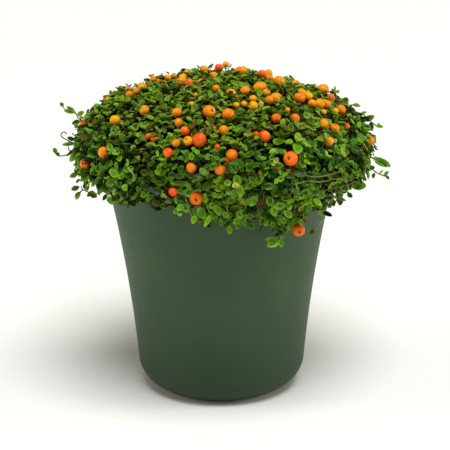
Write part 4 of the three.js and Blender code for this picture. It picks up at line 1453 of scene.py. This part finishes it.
def stem_mesh(stems, radius):
    """Thin round stems along their routes, as closed tubes that carry their tone."""
    shape = bmesh.new()
    by_tone = {}
    for points, tone in stems:
        by_tone.setdefault(round(clamped(tone) * 8) / 8, []).append(points)
    for tone in sorted(by_tone):
        curve = bpy.data.curves.new("stems", "CURVE")
        curve.dimensions = "3D"
        curve.bevel_depth = radius
        curve.bevel_resolution = 1
        curve.use_fill_caps = True
        for points in by_tone[tone]:
            spline = curve.splines.new("POLY")
            spline.points.add(len(points) - 1)
            for place, point in zip(spline.points, points):
                place.co = (*point, 1)
            spline.points[-1].radius = 0.6
        holder = bpy.data.objects.new("stems", curve)
        mesh = bpy.data.meshes.new_from_object(holder)
        mesh.attributes.new("tone", "FLOAT", "POINT")
        mesh.attributes["tone"].data.foreach_set("value", [tone] * len(mesh.vertices))
        shape.from_mesh(mesh)
        bpy.data.objects.remove(holder)
        bpy.data.curves.remove(curve)
        bpy.data.meshes.remove(mesh)
    bmesh.ops.remove_doubles(shape, verts=shape.verts, dist=1e-7)
    return mesh_from(shape)


def leaf_mesh(leaves, templates):
    """Leaves in their places, each a copy of its habit's template."""
    shape = bmesh.new()
    for habit, place, tone in leaves:
        add_copy(shape, templates[habit], place, tone)
    return mesh_from(shape)


QUARTERS = ("right", "back", "left", "front")


def quarter_of(place):
    azimuth = math.degrees(math.atan2(place.y, place.x))
    return QUARTERS[int(((azimuth + 45) % 360) // 90)]


def make_foliage(pot, mat, fruit):
    """All the leaves, in a piece for each quarter of the mat, and their stems in one piece."""
    chance = random.Random(SEED + 1)
    foliage = Foliage(pot, mat, Berries(mat, fruit, random.Random(SEED)), chance)
    for direction in scatter_directions(mat, mat.tip_spacing, TIP_TRIES, chance):
        foliage.rising_tip(direction)
    for direction in scatter_directions(mat, RUNNER_SPACING, RUNNER_TRIES, chance)[:mat.runners]:
        turn = chance.uniform(-math.pi, math.pi)
        downhill = Vector((direction.x, direction.y, -0.6))
        heading = direction_of(turn, 0) + downhill * (0.2 if direction.z > 0.4 else 0.7)
        foot = chance.uniform(*RUNNER_FOOT_DEPTHS) * MM
        end = chance.uniform(*RUNNER_END_DEPTHS) * MM
        steps = chance.randrange(5, 10)
        foliage.creeping_shoot(direction, heading, steps, (foot, end), chance.uniform(0, 0.45))
    for number in range(mat.hanging):
        azimuth = (number + chance.uniform(-0.5, 0.5)) / mat.hanging * 2 * math.pi
        is_at_side = abs(math.cos(azimuth)) > 0.8
        if is_at_side and chance.random() < THINNED_AT_SIDES:
            continue
        foliage.hanging_shoot(azimuth, HANGING_DEPTHS[number % len(HANGING_DEPTHS)] * MM)

    templates = [leaf_template(*habit) for habit in LEAF_HABITS]
    leaf_skin, stem_skin = leaf_material(mat), stem_material(mat)
    for quarter in QUARTERS:
        leaves = [leaf for leaf in foliage.leaves if quarter_of(leaf[1].translation) == quarter]
        mesh = leaf_mesh(leaves, templates)
        new_piece(f"mat_leaves_{quarter}", mesh, [leaf_skin], ["leaf_mat"])
    stems = stem_mesh(foliage.stems, mat.stem_radius)
    new_piece("creeping_stems", stems, [stem_skin], ["leaf_mat"])


def make_stray_stems(pot, mat, fruit):
    """The stray leafy stems, as the photograph shows them, or behind as the frame has them, and
    the bare stems that lie over the mat."""
    berries = Berries(mat, fruit, random.Random(SEED))
    foliage = Foliage(pot, mat, berries, random.Random(SEED + 2))

    def lying_place(x, y):
        return under_surface(mat, berries.pixel_direction(x, y), -LYING_HEIGHT)

    for depth, stems, leaves in SIDE_SPRIGS.values():
        foliage.sprig(stems, leaves, lambda x, y: side_place(pot, x, y, depth * MM))
    for radius, stems, leaves in FRONT_SPRIGS.values():
        foliage.sprig(
            stems, leaves, lambda x, y: front_place(x, y, radius * MM), FRONT_STEMS_BEHIND,
        )
    for route in BACK_STEMS.values():
        foliage.back_stem(route)
    foliage.sprig(LYING_STEMS, [], lying_place)
    nodes = [f"stray_stem_{name}" for name in (*SIDE_SPRIGS, *FRONT_SPRIGS, *BACK_STEMS)]
    leaves = leaf_mesh(foliage.leaves, [leaf_template(*habit) for habit in LEAF_HABITS])
    new_piece("stray_leaves", leaves, [bpy.data.materials["fleshy_leaf"]], nodes)
    stems = stem_mesh(foliage.stems, mat.stem_radius)
    new_piece("stray_stems", stems, [bpy.data.materials["creeping_stem"]], nodes)


def make_berries(mat, fruit):
    """The berries of each fruiting stem, those between the stems, and their runners."""
    berries = Berries(mat, fruit, random.Random(SEED))
    with_calyx, with_scar = berry_template(True), berry_template(False)
    skins = [berry_material(fruit), calyx_material(fruit)]
    groups = {
        f"berries_{name}": (rows, [f"fruiting_stem_{name}"])
        for name, rows in berries.by_stem.items()
    }
    groups["berry_hanging"] = (berries.hanging, ["fruiting_stem_hanging"])
    groups["berries_between"] = (berries.seen, [])
    groups["berries_behind"] = (berries.hidden, [])
    for name, (rows, nodes) in groups.items():
        shape = bmesh.new()
        for number, (centre, facing, size, ripeness) in enumerate(rows):
            place = frame_matrix(centre, facing.orthogonal(), facing, size)
            add_copy(shape, with_scar if number % 3 else with_calyx, place, ripeness)
        new_piece(name, mesh_from(shape), skins, nodes)
    stems = []
    for rows in berries.by_stem.values():
        feet = [centre - (centre - HEART).normalized() * size * 0.55 for centre, _, size, _ in rows]
        stems.append((feet, 0.3))
    stems.append((smooth_route(route_points(HANGING_ROUTE), 12), 0.25))
    stalk = 4 * MM
    for centre, _, size, _ in berries.all:
        inward = (HEART - centre).normalized()
        top = centre + inward * size * 0.45
        stems.append(([top, centre + inward * (size * 0.45 + stalk)], 0.6))
    mesh = stem_mesh(stems, mat.stem_radius * 1.3)
    nodes = [f"fruiting_stem_{name}" for name in (*FRUITING_STEMS, "hanging")]
    new_piece("berry_stalks", mesh, [bpy.data.materials["creeping_stem"]], nodes)


def add_light(name, kind, place, aim, **settings):
    """A light that shines along its aim."""
    light = bpy.data.lights.new(name, kind)
    for key, value in settings.items():
        setattr(light, key, value)
    lamp = bpy.data.objects.new(name, light)
    lamp.location = place
    lamp.rotation_euler = aim.to_track_quat("-Z", "Y").to_euler()
    bpy.context.scene.collection.objects.link(lamp)
    return lamp


def make_stage(stage):
    """A pale floor, pale surroundings, soft lights and the photograph's camera."""
    scene = bpy.context.scene
    shape = bmesh.new()
    bmesh.ops.create_circle(shape, cap_ends=True, segments=96, radius=FLOOR_RADIUS)
    floor = bpy.data.objects.new("floor", mesh_from(shape, smooth=False))
    floor.data.materials.append(floor_material(stage))
    scene.collection.objects.link(floor)

    world = bpy.data.worlds.new("studio")
    world.use_nodes = True
    background = world.node_tree.nodes["Background"]
    background.inputs["Color"].default_value = (*stage.surroundings, 1)
    background.inputs["Strength"].default_value = stage.ambient
    scene.world = world
    scene.view_settings.view_transform = "Standard"

    add_light(
        "overhead_light", "SUN", (0, 0, 0), SKY_AIM, energy=stage.sky_power, angle=SKY_SPREAD,
    )
    across, *level = SIDE_LIGHT_PLACE
    for name, side, share in (("left_light", -1, 1), ("right_light", 1, RIGHT_LIGHT_SHARE)):
        place = Vector((side * across, *level))
        lamp = add_light(
            name, "AREA", place, LIT_POINT - place, shape="DISK", color=stage.side_tint,
            size=SIDE_LIGHT_SIZE, energy=stage.side_power * share,
        )
        lamp.visible_camera = False

    place, right, up, forward = camera_axes()
    lens = bpy.data.cameras.new("camera")
    lens.sensor_width = SENSOR_WIDTH
    lens.lens = CAMERA_LENS
    lens.clip_start = 0.01
    camera = bpy.data.objects.new("camera", lens)
    turned = Matrix((right, up, -forward)).transposed().to_4x4()
    camera.matrix_world = Matrix.Translation(place) @ turned
    scene.collection.objects.link(camera)
    scene.camera = camera


class CORAL_OT_pot(bpy.types.Operator):
    """Make the moulded pot and the soil in it"""
    bl_idname = "coral.pot"
    bl_label = "Pot and Soil"

    def execute(self, context):
        make_pot(context.scene.coral_pot)
        make_soil(context.scene.coral_pot)
        return {"FINISHED"}


class CORAL_OT_foliage(bpy.types.Operator):
    """Make the mat: its tangle, its leafy shoots and their stems"""
    bl_idname = "coral.foliage"
    bl_label = "Leafy Mat"

    def execute(self, context):
        scene = context.scene
        make_tangle(scene.coral_pot, scene.coral_mat)
        make_foliage(scene.coral_pot, scene.coral_mat, scene.coral_fruit)
        return {"FINISHED"}


class CORAL_OT_stray_stems(bpy.types.Operator):
    """Make the stray stems that leave the mat"""
    bl_idname = "coral.stray_stems"
    bl_label = "Stray Stems"

    def execute(self, context):
        scene = context.scene
        make_stray_stems(scene.coral_pot, scene.coral_mat, scene.coral_fruit)
        return {"FINISHED"}


class CORAL_OT_berries(bpy.types.Operator):
    """Make the berries and their stalks"""
    bl_idname = "coral.berries"
    bl_label = "Berries"

    def execute(self, context):
        make_berries(context.scene.coral_mat, context.scene.coral_fruit)
        return {"FINISHED"}


class CORAL_OT_stage(bpy.types.Operator):
    """Make the floor, the lights and the camera"""
    bl_idname = "coral.stage"
    bl_label = "Stage"

    def execute(self, context):
        make_stage(context.scene.coral_stage)
        return {"FINISHED"}


class CORAL_PT_panel(bpy.types.Panel):
    """Lists the plant's pieces in the order in which they are made"""
    bl_label = "Coral Bead Plant"
    bl_idname = "CORAL_PT_panel"
    bl_space_type = "VIEW_3D"
    bl_region_type = "UI"
    bl_category = "Coral Bead"

    def draw(self, context):
        for operator in OPERATORS:
            self.layout.operator(operator.bl_idname)


SETTINGS = {
    "coral_pot": CoralPotSettings,
    "coral_mat": CoralMatSettings,
    "coral_fruit": CoralFruitSettings,
    "coral_stage": CoralStageSettings,
}
OPERATORS = (
    CORAL_OT_stage, CORAL_OT_pot, CORAL_OT_foliage, CORAL_OT_stray_stems, CORAL_OT_berries,
)


def register():
    for group in (*SETTINGS.values(), *OPERATORS, CORAL_PT_panel):
        bpy.utils.register_class(group)
    for name, group in SETTINGS.items():
        setattr(bpy.types.Scene, name, bpy.props.PointerProperty(type=group))


def unregister():
    for name in SETTINGS:
        delattr(bpy.types.Scene, name)
    for group in (CORAL_PT_panel, *reversed(OPERATORS), *reversed(SETTINGS.values())):
        bpy.utils.unregister_class(group)


def main():
    register()
    bpy.ops.coral.stage()
    bpy.ops.coral.pot()
    bpy.ops.coral.foliage()
    bpy.ops.coral.stray_stems()
    bpy.ops.coral.berries()


if __name__ == "__main__":
    main()
